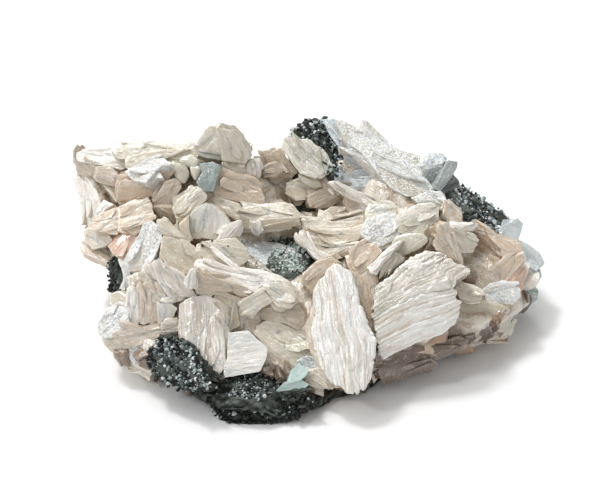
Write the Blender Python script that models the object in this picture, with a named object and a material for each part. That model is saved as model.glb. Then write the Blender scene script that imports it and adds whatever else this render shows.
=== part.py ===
"""Stilbite specimen: a crust of intergrown stilbite blades on dark basalt, with apophyllite.

Lengths are in millimetres up to the last step, which writes the meshes in metres. +Z is up, the
table is z = 0, +X is the viewer's right and the viewer looks along +Y, 42 degrees downwards.

Each crystal is a prism under one of its flat faces. The corners of that face are given as the
viewer sees them, in quarter millimetres across and down a 600 x 481 picture, and the face's
height over the table and its direction put them in space.
"""

import math

import bmesh
import bpy
import numpy as np
from mathutils import Euler, Vector

MM = 0.001

# How the viewer sees the specimen
SIGHT_ELEVATION = math.radians(42.0)
SIGHT_DISTANCE = 500.0
SIGHT_AIM = Vector((-2.0, 10.0, 18.0))
PICTURE_MIDDLE = (300.0, 240.0)
PICTURE_UNIT = 0.25

# The two masses that carry the crystals: how far they reach from the middle, every 15 degrees
# from +X towards +Y, and how high they stand at chosen places (x, y, height)
MATRIX_REACH = (
    46, 49, 44, 32, 32, 34, 35, 31, 27, 33, 38, 42,
    49, 43, 42, 41, 40, 37, 33, 29, 30, 28, 29, 36,
)  # fmt: skip
MATRIX_HEIGHTS = (
    (-31, -23, 11), (-37, -26, 6), (-24, -30, 5), (-14, -33, 7), (-4, -34, 3), (6, -28, 2),
    (22, -21, 3), (33, -14, 4), (42, -3, 6), (-49, 1, 13), (-40, -12, 6), (-44, 14, 10),
    (-30, 15, 10), (-30, 0, 9), (-20, 25, 12), (-7, 6, 18), (-7, 11, 16), (-2, 5, 17),
    (-14, 7, 14), (0, -18, 8), (-20, -12, 9), (12, 0, 10), (20, 8, 10), (30, -6, 7),
    (12, 16, 12), (0, 22, 14), (-2, 34, 29), (4, 29, 28), (8, 32, 29), (22, 22, 18),
    (36, 20, 25), (42, 17, 23), (49, 13, 18), (45, 8, 12),
)  # fmt: skip
CRUST_REACH = (
    55, 53, 41, 36, 34, 30, 22, 28, 30, 37, 50, 52,
    46, 50, 45, 34, 26, 27, 27, 27, 28, 31, 38, 47,
)  # fmt: skip
CRUST_HEIGHTS = (
    (-45, 21, 22), (-54, 23, 21), (-34, 22, 26), (-24, 26, 30), (-14, 25, 26), (-11, 20, 21),
    (0, 23, 17), (6, 18, 17), (12, 14, 19), (-8, 6, 13), (-2, 5, 14), (20, 22, 28),
    (30, 20, 25), (10, 29, 30), (25, 25, 26), (38, 12, 21), (45, 3, 18), (54, 1, 11),
    (48, -5, 12), (40, -8, 12), (30, -8, 17), (20, -14, 13), (14, -19, 10), (10, -24, 5),
    (0, -22, 7), (-10, -21, 9), (-20, -19, 10), (-26, -26, 5), (-34, -17, 12), (-45, -12, 11),
    (-46, -2, 13), (-45, 8, 17), (-35, 6, 21), (-25, 6, 21), (-15, -1, 20), (2, -2, 17),
    (14, 2, 20), (25, 3, 22), (0, -12, 14), (-14, -10, 16), (-28, -8, 18), (51, 14, 17),
)  # fmt: skip
CRUST_FLOOR = 1.6
CLEARANCE = 0.35
ANGLE_STEPS = 30
SIDE_PROFILE = ((0.86, 0.0), (0.95, 0.35), (1.0, 0.65))
TOP_PARTS = (0.95, 0.82, 0.68, 0.54, 0.40, 0.26, 0.12)

# A crystal's root is this much smaller than its face
ROOT_SCALE = 0.85

# Share of the corners that the joined crust keeps: the rest are slivers where crystals cross
CORNERS_KEPT = 0.63

# Grains fill the spots where two crystals would only touch along an edge
GRAIN_RADIUS = 0.8
GRAIN_STEP = 0.13
GRAIN_ROUNDS = 8
TOUCHING = 0.0005

STILBITE = "stilbite_crystals"
BASALT = "basalt_matrix"

# (node, corners seen, height of the face's middle, its direction, depth of the crystal behind it)
CRYSTALS = {
    # left rim
    "rim_top": (STILBITE, [(73, 153), (84, 149), (110, 150), (138, 158), (122, 169), (95, 163),
                           (78, 161)], 30.5, (0, -0.3, 0.95), 6),
    "rim_front": (STILBITE, [(73, 155), (79, 162), (96, 164), (118, 170), (117, 197), (96, 186),
                             (77, 172)], 27, (-0.15, -0.95, 0.2), 7),
    "rim_inset": (STILBITE, [(98, 166), (111, 167), (121, 177), (113, 186), (98, 182), (93, 177)],
                  28.5, (-0.2, -0.8, 0.55), 5),
    "side_face": (STILBITE, [(75, 172), (80, 177), (96, 190), (101, 207), (97, 220), (88, 227),
                             (82, 213), (77, 190)], 22, (-0.7, -0.55, 0.45), 7),
    "side_back": (STILBITE, [(88, 180), (115, 196), (112, 206), (101, 212), (94, 200)],
                  21, (-0.3, -0.9, 0.3), 5),
    "white_tip": (STILBITE, [(104, 199), (113, 204), (106, 209), (99, 218), (95, 215), (99, 205)],
                  24.5, (-0.4, -0.4, 0.8), 4),
    "hood_top": (STILBITE, [(124, 171), (138, 165), (148, 157), (163, 157), (172, 163), (160, 166),
                            (152, 175), (146, 182), (134, 180)], 33, (-0.3, -0.3, 0.9), 5),
    "hood_side": (STILBITE, [(120, 180), (146, 181), (160, 166), (172, 163), (174, 172), (165, 184),
                             (154, 196), (138, 199), (119, 205), (116, 195)],
                  29, (0.05, -0.9, 0.45), 7),
    "crest": (STILBITE, [(110, 148), (122, 145), (132, 141), (146, 141), (158, 139), (172, 142),
                         (196, 141), (198, 150), (170, 155), (140, 159), (118, 158)],
              33, (0, -0.35, 0.93), 5),
    "crest_low": (STILBITE, [(124, 158), (150, 149), (196, 147), (199, 156), (185, 160), (160, 156),
                             (140, 164), (126, 168)], 32.3, (0, -0.5, 0.86), 5),
    "wax_left": (STILBITE, [(170, 160), (184, 164), (190, 172), (187, 181), (183, 184), (175, 178),
                            (171, 168)], 31, (0, -0.75, 0.65), 5),
    "wax_right": (STILBITE, [(190, 166), (199, 165), (202, 170), (200, 177), (195, 180),
                             (191, 174)], 31, (0.1, -0.8, 0.6), 5),
    "wax_top": (STILBITE, [(180, 156), (192, 153), (199, 159), (198, 166), (186, 165), (179, 161)],
                33, (0, -0.5, 0.85), 5),
    "pillar": (STILBITE, [(165, 181), (175, 178), (181, 183), (178, 192), (172, 203), (162, 213),
                          (152, 206), (155, 197), (161, 188)], 28, (0.1, -0.85, 0.5), 6),
    "barrel": (STILBITE, [(196, 185), (205, 190), (208, 197), (200, 208), (189, 221), (176, 219),
                          (172, 208), (177, 200), (188, 191)], 27, (0.1, -0.6, 0.8), 6),
    "barrel_under": (STILBITE, [(152, 206), (172, 207), (178, 219), (190, 221), (178, 228),
                                (160, 218)], 24, (0.1, -0.95, 0.3), 4),
    "peach_round": (STILBITE, [(118, 206), (134, 199), (148, 199), (153, 204), (152, 210),
                               (157, 217), (145, 223), (126, 229), (117, 222)],
                    27, (-0.1, -0.5, 0.85), 5),
    "peach_low": (STILBITE, [(88, 224), (97, 220), (101, 212), (118, 206), (121, 212), (118, 227),
                             (106, 231), (94, 231)], 23.5, (-0.3, -0.5, 0.8), 5),
    "left_bulge": (STILBITE, [(84, 229), (90, 223), (106, 229), (113, 240), (104, 246), (92, 249),
                              (84, 240)], 18, (-0.5, -0.6, 0.6), 6),
    "brown_knob": (STILBITE, [(92, 249), (103, 243), (109, 250), (112, 255), (107, 263), (97, 262),
                              (91, 256)], 13.5, (-0.5, -0.75, 0.4), 6),
    "rose_streak": (STILBITE, [(113, 240), (127, 227), (136, 226), (143, 232), (131, 246),
                               (124, 261), (117, 257), (107, 247)], 20.5, (-0.35, -0.55, 0.75), 5),
    "frost_left": (STILBITE, [(143, 222), (152, 219), (158, 226), (162, 236), (158, 250),
                              (154, 262), (140, 271), (126, 270), (124, 260), (131, 246),
                              (140, 232)], 24, (-0.05, -0.65, 0.75), 6),
    # pyramid and its neighbours
    "pyramid_left": (STILBITE, [(208, 125), (217, 126), (222, 140), (222, 155), (196, 150),
                                (197, 141)], 36, (-0.25, -0.8, 0.55), 7),
    "pyramid_right": (STILBITE, [(216, 126), (229, 129), (237, 129), (250, 143), (252, 155),
                                 (245, 163), (222, 160), (220, 142)], 36, (0.25, -0.75, 0.6), 7),
    "rod": (STILBITE, [(190, 146), (200, 143), (215, 142), (230, 146), (246, 151), (250, 156),
                       (225, 159), (205, 157), (192, 153)], 33, (0, -0.6, 0.8), 5),
    "grey_shard": (STILBITE, [(223, 160), (235, 156), (245, 160), (246, 172), (240, 176),
                              (232, 171), (225, 166)], 30.5, (0.1, -0.7, 0.7), 5),
    "tooth": (STILBITE, [(246, 164), (252, 158), (260, 160), (262, 172), (260, 178), (250, 177),
                         (245, 172)], 29.5, (0.1, -0.8, 0.6), 6),
    "peach_plate": (STILBITE, [(222, 166), (240, 174), (260, 180), (262, 188), (266, 203),
                               (252, 205), (238, 201), (214, 197), (213, 190), (217, 175)],
                    28, (0.05, -0.75, 0.65), 5),
    "beige_fold": (STILBITE, [(206, 199), (215, 196), (238, 202), (246, 213), (240, 223),
                              (226, 213), (214, 204)], 25, (-0.1, -0.6, 0.8), 5),
    "long_plate": (STILBITE, [(232, 208), (250, 205), (264, 203), (286, 201), (300, 215),
                              (290, 217), (270, 219), (255, 219), (243, 214)],
                   24.5, (0, -0.45, 0.9), 5),
    "long_plate_side": (STILBITE, [(240, 213), (256, 219), (300, 216), (298, 226), (280, 229),
                                   (262, 229), (252, 232), (243, 232), (238, 223)],
                        22.5, (0, -0.85, 0.5), 6),
    "knob": (STILBITE, [(251, 221), (260, 219), (264, 230), (258, 236), (251, 232)],
             23, (0, -0.8, 0.6), 5),
    # crystals round the hollow
    "cave_block": (STILBITE, [(272, 182), (280, 180), (288, 187), (290, 195), (285, 201),
                              (270, 203), (266, 196), (266, 188)], 20.5, (-0.1, -0.75, 0.65), 6),
    "cave_bead": (STILBITE, [(291, 195), (297, 190), (303, 190), (308, 197), (300, 205),
                             (294, 206), (290, 202)], 19, (-0.2, -0.7, 0.7), 6),
    "cave_pillow": (STILBITE, [(321, 213), (330, 206), (345, 205), (355, 208), (350, 217),
                               (338, 221), (325, 219)], 19.5, (0, -0.6, 0.8), 5),
    "saddle_top": (STILBITE, [(252, 155), (264, 156), (275, 150), (281, 147), (286, 156),
                              (298, 172), (292, 178), (276, 176), (264, 178)],
                   27, (0, -0.75, 0.65), 6),
    "saddle_rod": (STILBITE, [(262, 168), (270, 162), (281, 164), (283, 171), (274, 177),
                              (264, 177)], 27.5, (0, -0.7, 0.75), 5),
    "saddle_under": (STILBITE, [(264, 178), (278, 176), (292, 178), (312, 191), (300, 191),
                                (288, 187), (280, 180), (268, 190)], 22, (0, -0.9, 0.4), 6),
    # rear ridge
    "rear_plate": (STILBITE, [(281, 146), (285, 136), (297, 138), (310, 139), (318, 147),
                              (321, 155), (322, 165), (325, 172), (315, 178), (300, 173),
                              (292, 162)], 31, (-0.05, -0.7, 0.7), 6),
    "rear_straw": (STILBITE, [(297, 173), (312, 178), (318, 177), (322, 186), (314, 189),
                              (305, 184), (298, 178)], 25.5, (-0.1, -0.8, 0.6), 6),
    "pink_block": (STILBITE, [(318, 179), (326, 176), (334, 181), (342, 192), (335, 199),
                              (325, 197), (315, 190)], 23.5, (-0.1, -0.75, 0.65), 7),
    "white_rib": (STILBITE, [(326, 181), (337, 180), (355, 189), (372, 199), (396, 212),
                             (386, 217), (365, 204), (350, 199), (336, 190)],
                  25, (-0.1, -0.6, 0.8), 6),
    "rib_under": (STILBITE, [(345, 197), (366, 206), (374, 212), (367, 222), (353, 217),
                             (345, 207)], 22, (-0.1, -0.75, 0.65), 6),
    "green_lobe": (STILBITE, [(372, 204), (385, 203), (397, 207), (397, 213), (388, 220),
                              (371, 225), (366, 218)], 24.5, (0, -0.6, 0.8), 6),
    "slab": (STILBITE, [(334, 118), (344, 119), (360, 129), (372, 135), (386, 144), (403, 150),
                        (421, 154), (420, 165), (425, 176), (437, 190), (422, 194), (408, 196),
                        (392, 188), (376, 171), (362, 153), (345, 140)],
             31.5, (0.22, -0.35, 0.9), 6),
    "slab_step": (STILBITE, [(376, 172), (392, 184), (410, 196), (404, 204), (392, 203),
                             (381, 198), (378, 184)], 26, (-0.1, -0.6, 0.8), 5),
    "frost_band": (STILBITE, [(322, 119), (334, 118), (345, 140), (365, 153), (352, 157),
                              (341, 150), (330, 135)], 33.5, (-0.2, -0.7, 0.7), 5),
    "edge_tips": (STILBITE, [(289, 130), (300, 128), (312, 121), (322, 119), (318, 126),
                             (304, 131), (297, 138), (290, 138)], 32.5, (-0.1, -0.6, 0.8), 5),
    "frost_steps": (STILBITE, [(345, 178), (366, 178), (380, 168), (386, 176), (374, 181),
                               (368, 187), (356, 187)], 27, (-0.1, -0.7, 0.7), 5),
    "mint_blade": (STILBITE, [(423, 156), (430, 151), (443, 152), (448, 158), (444, 168),
                              (438, 166), (426, 169), (420, 165)], 31, (0, -0.5, 0.85), 5),
    # right-hand side
    "sugar_plate": (STILBITE, [(411, 197), (430, 190), (441, 191), (446, 198), (449, 208),
                               (445, 216), (440, 208), (431, 202), (418, 203)],
                    26, (0, -0.65, 0.75), 6),
    "pale_plate": (STILBITE, [(398, 214), (418, 203), (432, 202), (440, 208), (438, 220),
                              (430, 226), (424, 232), (410, 238), (398, 232), (396, 222)],
                   27, (-0.05, -0.7, 0.75), 5),
    "cleft": (STILBITE, [(423, 231), (438, 224), (438, 243), (432, 250), (417, 255), (429, 241)],
              24, (-0.1, -0.9, 0.4), 6),
    "blush_grey": (STILBITE, [(446, 200), (454, 206), (462, 212), (463, 222), (449, 223),
                              (442, 216)], 26, (0.1, -0.7, 0.7), 6),
    "upright": (STILBITE, [(437, 224), (447, 225), (452, 240), (460, 254), (461, 261),
                           (448, 257), (436, 250), (433, 244), (437, 236)],
                26, (0.1, -0.8, 0.6), 6),
    "white_lip": (STILBITE, [(446, 223), (465, 221), (479, 223), (472, 230), (452, 230)],
                  25.5, (0.1, -0.5, 0.85), 5),
    "grey_block": (STILBITE, [(450, 227), (462, 230), (475, 233), (478, 244), (473, 252),
                              (461, 253), (455, 244)], 23.5, (0.25, -0.7, 0.65), 6),
    "arch_top": (STILBITE, [(466, 224), (479, 221), (486, 224), (500, 236), (520, 241),
                            (524, 251), (512, 252), (500, 248), (488, 236), (476, 231)],
                 22, (0.15, -0.45, 0.88), 5),
    "arch_inside": (STILBITE, [(473, 230), (488, 235), (500, 248), (506, 256), (500, 267),
                               (494, 263), (484, 256), (474, 251), (478, 242)],
                    19, (-0.3, -0.85, 0.4), 6),
    "arch_right": (STILBITE, [(500, 248), (512, 250), (524, 251), (521, 261), (512, 272),
                              (505, 281), (493, 280), (492, 272), (503, 258)],
                   17.5, (0.05, -0.75, 0.65), 6),
    "rim_crust": (STILBITE, [(518, 239), (528, 243), (540, 252), (545, 262), (541, 268),
                             (533, 275), (526, 271), (520, 262), (524, 251)],
                  14, (0.5, -0.5, 0.7), 6),
    "rim_rose": (STILBITE, [(504, 281), (512, 272), (520, 261), (528, 271), (525, 280),
                            (520, 290), (510, 288)], 14.5, (0.3, -0.75, 0.6), 6),
    "white_crust": (STILBITE, [(481, 290), (490, 283), (505, 280), (521, 288), (521, 296),
                               (512, 304), (500, 304), (485, 301)], 14, (0.05, -0.7, 0.7), 6),
    "brown_ball": (STILBITE, [(462, 258), (470, 255), (480, 257), (488, 265), (491, 276),
                              (484, 287), (476, 285), (474, 275), (466, 270)],
                   15.5, (0, -0.8, 0.6), 6),
    "brown_bead": (STILBITE, [(459, 278), (466, 270), (474, 269), (478, 276), (476, 286),
                              (466, 283)], 16, (0, -0.8, 0.6), 5),
    "tan_spear": (STILBITE, [(454, 286), (459, 280), (471, 284), (480, 291), (483, 299),
                             (470, 301), (460, 298)], 17, (0, -0.6, 0.8), 4),
    "facet_main": (STILBITE, [(459, 300), (483, 299), (500, 303), (507, 307), (500, 316),
                              (490, 331), (478, 326), (468, 331), (458, 320)],
                   11.5, (0.1, -0.7, 0.7), 7),
    "facet_right": (STILBITE, [(500, 315), (507, 306), (515, 312), (511, 322), (511, 335),
                               (498, 331), (489, 331)], 8, (0.45, -0.7, 0.5), 7),
    "facet_left": (STILBITE, [(450, 331), (458, 320), (468, 330), (473, 334), (466, 341),
                              (446, 343)], 8.5, (0, -0.8, 0.6), 7),
    "facet_under": (STILBITE, [(472, 334), (490, 330), (511, 333), (505, 339), (480, 344),
                               (464, 345)], 4.5, (0.1, -0.95, 0.3), 7),
    "brown_crystal": (STILBITE, [(396, 352), (418, 350), (434, 351), (438, 358), (437, 366),
                                 (430, 373), (420, 373), (406, 365)], 5, (0.1, -0.9, 0.4), 8),
    # fan
    "fan_upper": (STILBITE, [(377, 284), (392, 274), (402, 263), (413, 255), (425, 250),
                             (440, 252), (455, 260), (471, 270), (457, 279), (456, 286),
                             (440, 290), (420, 293), (400, 303), (380, 313), (373, 317),
                             (372, 305)], 24, (0, -0.55, 0.83), 7),
    "fan_lower": (STILBITE, [(373, 316), (390, 306), (405, 298), (420, 291), (440, 288),
                             (456, 285), (457, 296), (463, 303), (461, 311), (456, 322),
                             (448, 331), (435, 337), (420, 341), (408, 347), (395, 353),
                             (380, 361), (378, 345)], 17.5, (0.1, -0.75, 0.65), 8),
    "fan_hollow": (STILBITE, [(376, 284), (380, 272), (392, 262), (403, 262), (392, 274)],
                   23, (0, -0.8, 0.6), 5),
    # plates over the fan and in the middle
    "tan_left": (STILBITE, [(349, 247), (360, 243), (376, 242), (383, 250), (374, 259),
                            (368, 268), (358, 276), (350, 263)], 26, (0, -0.6, 0.8), 5),
    "tan_right": (STILBITE, [(394, 236), (410, 232), (424, 233), (430, 240), (420, 248),
                             (405, 255), (395, 260), (390, 252)], 26.5, (0, -0.7, 0.7), 5),
    "white_spine": (STILBITE, [(368, 271), (378, 258), (388, 248), (400, 240), (396, 248),
                               (384, 262), (376, 274)], 27.5, (-0.1, -0.6, 0.8), 4),
    "near_ridge": (STILBITE, [(381, 264), (394, 250), (404, 256), (401, 262), (388, 268),
                              (379, 279)], 25.5, (0, -0.6, 0.8), 5),
    "hollow_lip": (STILBITE, [(300, 215), (318, 216), (334, 221), (350, 217), (366, 212),
                              (371, 219), (352, 228), (330, 229), (302, 227)],
                   21, (0, -0.45, 0.9), 5),
    "cream_flat": (STILBITE, [(302, 226), (330, 228), (352, 227), (371, 219), (372, 229),
                              (356, 241), (340, 244), (326, 248), (312, 240), (305, 232)],
                   22.5, (0.02, -0.5, 0.87), 5),
    "cream_band": (STILBITE, [(312, 240), (326, 248), (340, 244), (356, 241), (366, 240),
                              (352, 247), (348, 256), (332, 256), (318, 250)],
                   22, (0, -0.7, 0.7), 5),
    "white_ridge": (STILBITE, [(298, 231), (303, 228), (308, 238), (316, 248), (332, 255),
                               (326, 260), (314, 257), (306, 248), (299, 240)],
                    22.5, (-0.1, -0.6, 0.8), 4),
    "mid_cream": (STILBITE, [(366, 218), (386, 212), (400, 214), (404, 226), (397, 238),
                             (380, 246), (366, 241), (360, 231)], 25, (0, -0.5, 0.87), 5),
    "arch_gap": (STILBITE, [(302, 273), (316, 261), (332, 256), (341, 262), (327, 270),
                            (318, 283), (314, 292), (307, 288), (301, 283)],
                 20.5, (-0.2, -0.7, 0.7), 5),
    "peach_gap": (STILBITE, [(350, 268), (360, 275), (368, 269), (377, 272), (379, 283),
                             (377, 294), (373, 310), (371, 330), (364, 316), (357, 296)],
                  20.5, (0.2, -0.7, 0.7), 6),
    "sheaf_strip": (STILBITE, [(366, 318), (371, 322), (378, 318), (379, 345), (380, 362),
                               (382, 372), (374, 384), (370, 372), (374, 350)],
                    10, (0.2, -0.85, 0.5), 6),
    # sheaf
    "sheaf": (STILBITE, [(336, 262), (345, 268), (353, 272), (355, 283), (359, 293), (360, 304),
                         (365, 312), (371, 330), (377, 338), (376, 352), (373, 364), (371, 380),
                         (366, 388), (355, 394), (344, 390), (330, 381), (321, 366), (314, 345),
                         (311, 328), (316, 312), (312, 296), (316, 284), (325, 271)],
              18, (-0.05, -0.6, 0.8), 7),
    "sheaf_flank": (STILBITE, [(311, 312), (318, 320), (324, 350), (340, 384), (330, 384),
                               (318, 368), (308, 346), (305, 328)], 12, (-0.45, -0.65, 0.6), 7),
    # ledge and the crystals under it
    "glass_fan": (STILBITE, [(190, 214), (196, 207), (206, 202), (216, 206), (224, 214),
                             (230, 222), (228, 232), (216, 239), (204, 238), (192, 239),
                             (188, 228)], 27, (-0.05, -0.8, 0.55), 5),
    "feather": (STILBITE, [(216, 240), (222, 228), (231, 222), (241, 219), (242, 223),
                           (240, 232), (236, 237), (226, 239)], 27, (0.1, -0.7, 0.7), 3),
    "glass_side": (STILBITE, [(174, 228), (189, 214), (189, 230), (193, 240), (186, 241),
                              (177, 233)], 26, (-0.1, -0.8, 0.6), 5),
    "grey_plate": (STILBITE, [(197, 243), (212, 239), (236, 237), (247, 248), (250, 257),
                              (245, 262), (236, 268), (220, 266), (204, 259), (195, 250)],
                   24.5, (0.05, -0.6, 0.8), 5),
    "shelf": (STILBITE, [(194, 259), (205, 258), (220, 265), (238, 267), (262, 269), (280, 275),
                         (296, 284), (300, 291), (290, 290), (272, 288), (256, 292), (240, 285),
                         (224, 280), (205, 277), (194, 269)], 23, (0.1, -0.35, 0.9), 5),
    "shelf_front": (STILBITE, [(196, 270), (206, 277), (225, 280), (242, 285), (257, 292),
                               (258, 298), (240, 298), (232, 292), (215, 292), (212, 297),
                               (203, 293), (196, 287)], 22, (0.05, -0.9, 0.4), 6),
    "shelf_end": (STILBITE, [(262, 285), (272, 280), (288, 280), (296, 286), (300, 293),
                             (298, 302), (290, 308), (278, 306), (271, 299)],
                  20.5, (0.1, -0.6, 0.8), 6),
    "prism": (STILBITE, [(213, 297), (218, 288), (224, 284), (234, 291), (237, 300), (238, 310),
                         (240, 325), (229, 332), (227, 318), (225, 308), (220, 302)],
              18, (0.1, -0.8, 0.6), 6),
    "arrow": (STILBITE, [(236, 301), (250, 295), (264, 290), (273, 301), (262, 308), (252, 317),
                         (244, 312), (239, 306)], 19, (0, -0.8, 0.6), 7),
    "splinter": (STILBITE, [(240, 314), (247, 311), (254, 316), (255, 331), (241, 331),
                            (236, 329), (241, 322)], 13.5, (0, -0.8, 0.6), 5),
    "under_block": (STILBITE, [(258, 312), (272, 301), (285, 306), (298, 304), (305, 314),
                               (304, 324), (299, 330), (285, 323), (262, 319)],
                    15.5, (0, -0.75, 0.65), 6),
    "pillow": (STILBITE, [(253, 333), (257, 325), (268, 319), (282, 322), (296, 330), (308, 330),
                          (312, 346), (320, 357), (302, 360), (292, 368), (278, 361), (267, 356),
                          (262, 342)], 11, (0.05, -0.6, 0.8), 8),
    "pillow_band": (STILBITE, [(264, 358), (268, 356), (280, 361), (293, 367), (290, 376),
                               (272, 374), (261, 371)], 7.5, (0, -0.9, 0.4), 6),
    "milk_upper": (STILBITE, [(300, 358), (307, 355), (319, 356), (321, 366), (309, 371),
                              (301, 363)], 9, (0.1, -0.7, 0.7), 5),
    "milk_lower": (STILBITE, [(304, 371), (318, 366), (326, 375), (334, 389), (318, 388),
                              (308, 385), (302, 377)], 7, (0, -0.7, 0.7), 6),
    # blades fanning to the left
    "ray_top": (STILBITE, [(156, 218), (163, 218), (178, 229), (191, 241), (186, 244),
                           (166, 237), (158, 228)], 26.5, (0.1, -0.6, 0.8), 4),
    "ray_flat": (STILBITE, [(162, 236), (172, 237), (187, 243), (201, 256), (198, 270),
                            (186, 274), (170, 269), (159, 258)], 25, (0.05, -0.65, 0.75), 4),
    "ray_low": (STILBITE, [(158, 257), (167, 265), (184, 272), (192, 288), (198, 297),
                           (180, 296), (166, 284), (158, 268)], 23, (0.1, -0.7, 0.7), 5),
    "ray_slip": (STILBITE, [(184, 279), (191, 268), (196, 269), (196, 283), (192, 289),
                            (186, 287)], 25, (-0.1, -0.8, 0.6), 3),
    "ray_curve": (STILBITE, [(152, 262), (158, 258), (164, 270), (172, 283), (186, 298),
                             (178, 302), (166, 294), (157, 280)], 22.5, (0.2, -0.7, 0.65), 5),
    "ray_left": (STILBITE, [(138, 272), (152, 262), (158, 273), (168, 288), (178, 296),
                            (166, 299), (152, 290), (144, 281)], 21.5, (0.2, -0.6, 0.75), 5),
    "ray_end": (STILBITE, [(148, 284), (160, 291), (172, 298), (160, 303), (150, 303),
                           (145, 292)], 20, (0.1, -0.7, 0.7), 5),
    "straw_tip": (STILBITE, [(158, 300), (164, 296), (176, 295), (178, 301), (168, 304)],
                  19.5, (0.2, -0.5, 0.85), 4),
    "spiky": (STILBITE, [(158, 303), (170, 302), (177, 308), (173, 318), (163, 324),
                         (157, 312)], 17.5, (0.2, -0.8, 0.6), 4),
    "slat_white": (STILBITE, [(127, 291), (133, 287), (138, 296), (141, 318), (137, 326),
                              (129, 323), (125, 306)], 17.5, (-0.3, -0.8, 0.5), 5),
    "slat_inner": (STILBITE, [(137, 290), (144, 281), (151, 292), (153, 306), (149, 323),
                              (140, 325), (138, 308)], 18.5, (-0.1, -0.8, 0.6), 5),
    "slat_outer": (STILBITE, [(145, 281), (153, 284), (162, 300), (167, 312), (159, 327),
                              (149, 323), (152, 302)], 18.5, (0.1, -0.8, 0.6), 5),
    "slat_rear": (STILBITE, [(127, 276), (139, 271), (147, 281), (140, 292), (129, 289)],
                  20.5, (-0.2, -0.7, 0.7), 5),
    "rock_rim": (STILBITE, [(117, 257), (130, 268), (131, 290), (121, 293), (123, 275)],
                 16.5, (-0.4, -0.7, 0.6), 5),
    "mist_knob": (STILBITE, [(110, 294), (118, 290), (127, 295), (127, 307), (116, 309),
                             (109, 304)], 13.5, (-0.5, -0.7, 0.5), 6),
    # lower left
    "round_fan": (STILBITE, [(108, 311), (118, 305), (127, 308), (129, 323), (125, 335),
                             (110, 337), (100, 338), (97, 328), (100, 318)],
                  14, (-0.35, -0.6, 0.75), 6),
    "round_low": (STILBITE, [(98, 333), (110, 331), (130, 326), (141, 336), (130, 348),
                             (112, 352), (104, 345)], 10.5, (-0.35, -0.75, 0.5), 6),
    "long_low": (STILBITE, [(110, 334), (128, 326), (150, 329), (162, 326), (178, 322),
                            (178, 333), (160, 341), (141, 348), (118, 342)],
                 13, (-0.05, -0.85, 0.5), 6),
    "low_block": (STILBITE, [(160, 325), (166, 318), (178, 317), (180, 330), (170, 332),
                             (161, 331)], 15, (0.1, -0.8, 0.6), 5),
    "drip_white": (STILBITE, [(126, 340), (138, 337), (143, 346), (151, 358), (147, 362),
                              (133, 363), (126, 353)], 9, (-0.2, -0.8, 0.6), 5),
    "drip_brown": (STILBITE, [(112, 351), (127, 350), (129, 368), (120, 366), (114, 359)],
                   7, (-0.3, -0.9, 0.3), 6),
    "drip_low": (STILBITE, [(127, 361), (141, 360), (151, 359), (152, 372), (149, 381),
                            (140, 371), (129, 368)], 5.5, (-0.3, -0.85, 0.4), 6),
    "book": (STILBITE, [(179, 303), (190, 297), (206, 294), (219, 299), (223, 310), (224, 335),
                        (226, 362), (222, 371), (210, 379), (201, 376), (195, 366), (184, 350),
                        (178, 340)], 14, (0, -0.62, 0.78), 6),
    "book_side": (STILBITE, [(218, 299), (228, 306), (230, 330), (229, 360), (226, 371),
                             (221, 371), (225, 350), (223, 312)], 13.5, (0.6, -0.6, 0.5), 5),
    "book_foot": (STILBITE, [(212, 369), (219, 366), (226, 377), (222, 385), (212, 391),
                             (204, 387)], 5.5, (0, -0.8, 0.6), 5),
    "tablet": (STILBITE, [(228, 332), (248, 330), (268, 348), (266, 359), (260, 371),
                          (225, 377), (223, 368), (227, 358)], 11.5, (0, -0.68, 0.73), 3),
    # apophyllite and quartz
    "front_upper": ("apophyllite_front", [(291, 370), (298, 363), (308, 371), (304, 377),
                                          (300, 380), (286, 384)], 9, (-0.2, -0.7, 0.7), 5),
    "front_lower": ("apophyllite_front", [(284, 382), (300, 379), (309, 384), (299, 393),
                                          (290, 393), (280, 395), (276, 390)],
                    6, (-0.1, -0.8, 0.6), 5),
    "hollow_glass": ("apophyllite_hollow", [(199, 163), (212, 161), (221, 165), (217, 178),
                                            (213, 191), (204, 191), (196, 182), (202, 172)],
                     26, (-0.1, -0.7, 0.7), 6),
    "rim_glass": ("apophyllite_rim", [(503, 219), (518, 218), (523, 223), (521, 232),
                                      (517, 240), (500, 239), (499, 230)],
                  20, (0, -0.5, 0.85), 8),
    "side_upper": ("apophyllite_side_upper", [(528, 275), (541, 269), (542, 276), (536, 284),
                                              (529, 281)], 9.5, (0.5, -0.8, 0.3), 6),
    "side_lower": ("apophyllite_side_lower", [(524, 285), (532, 282), (539, 290), (538, 299),
                                              (528, 306), (518, 301), (521, 292)],
                   7.5, (0.4, -0.8, 0.4), 6),
    "striped": ("apophyllite_ridge", [(448, 160), (458, 161), (457, 168), (446, 184), (440, 191),
                                      (435, 188), (442, 172)], 29.5, (0.35, -0.75, 0.55), 5),
    "grey_face": ("apophyllite_ridge", [(426, 169), (441, 166), (445, 170), (438, 188),
                                        (428, 183), (421, 175)], 28, (0.1, -0.9, 0.4), 5),
    "dark_face": ("apophyllite_ridge", [(453, 173), (460, 181), (462, 190), (445, 196),
                                        (439, 190), (447, 182)], 26.5, (0.5, -0.75, 0.35), 6),
    "vug_upper": ("quartz_pocket", [(343, 153), (356, 155), (366, 152), (378, 164), (386, 172),
                                    (372, 170), (352, 169), (343, 163)],
                  30, (-0.1, -0.8, 0.6), 5),
    "vug_middle": ("quartz_pocket", [(350, 172), (358, 169), (368, 168), (374, 173), (369, 179),
                                     (356, 180)], 28, (0, -0.8, 0.6), 5),
    "vug_left": ("quartz_pocket", [(334, 172), (350, 170), (354, 180), (345, 183), (333, 179)],
                 27, (0, -0.75, 0.65), 5),
}  # fmt: skip

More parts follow.
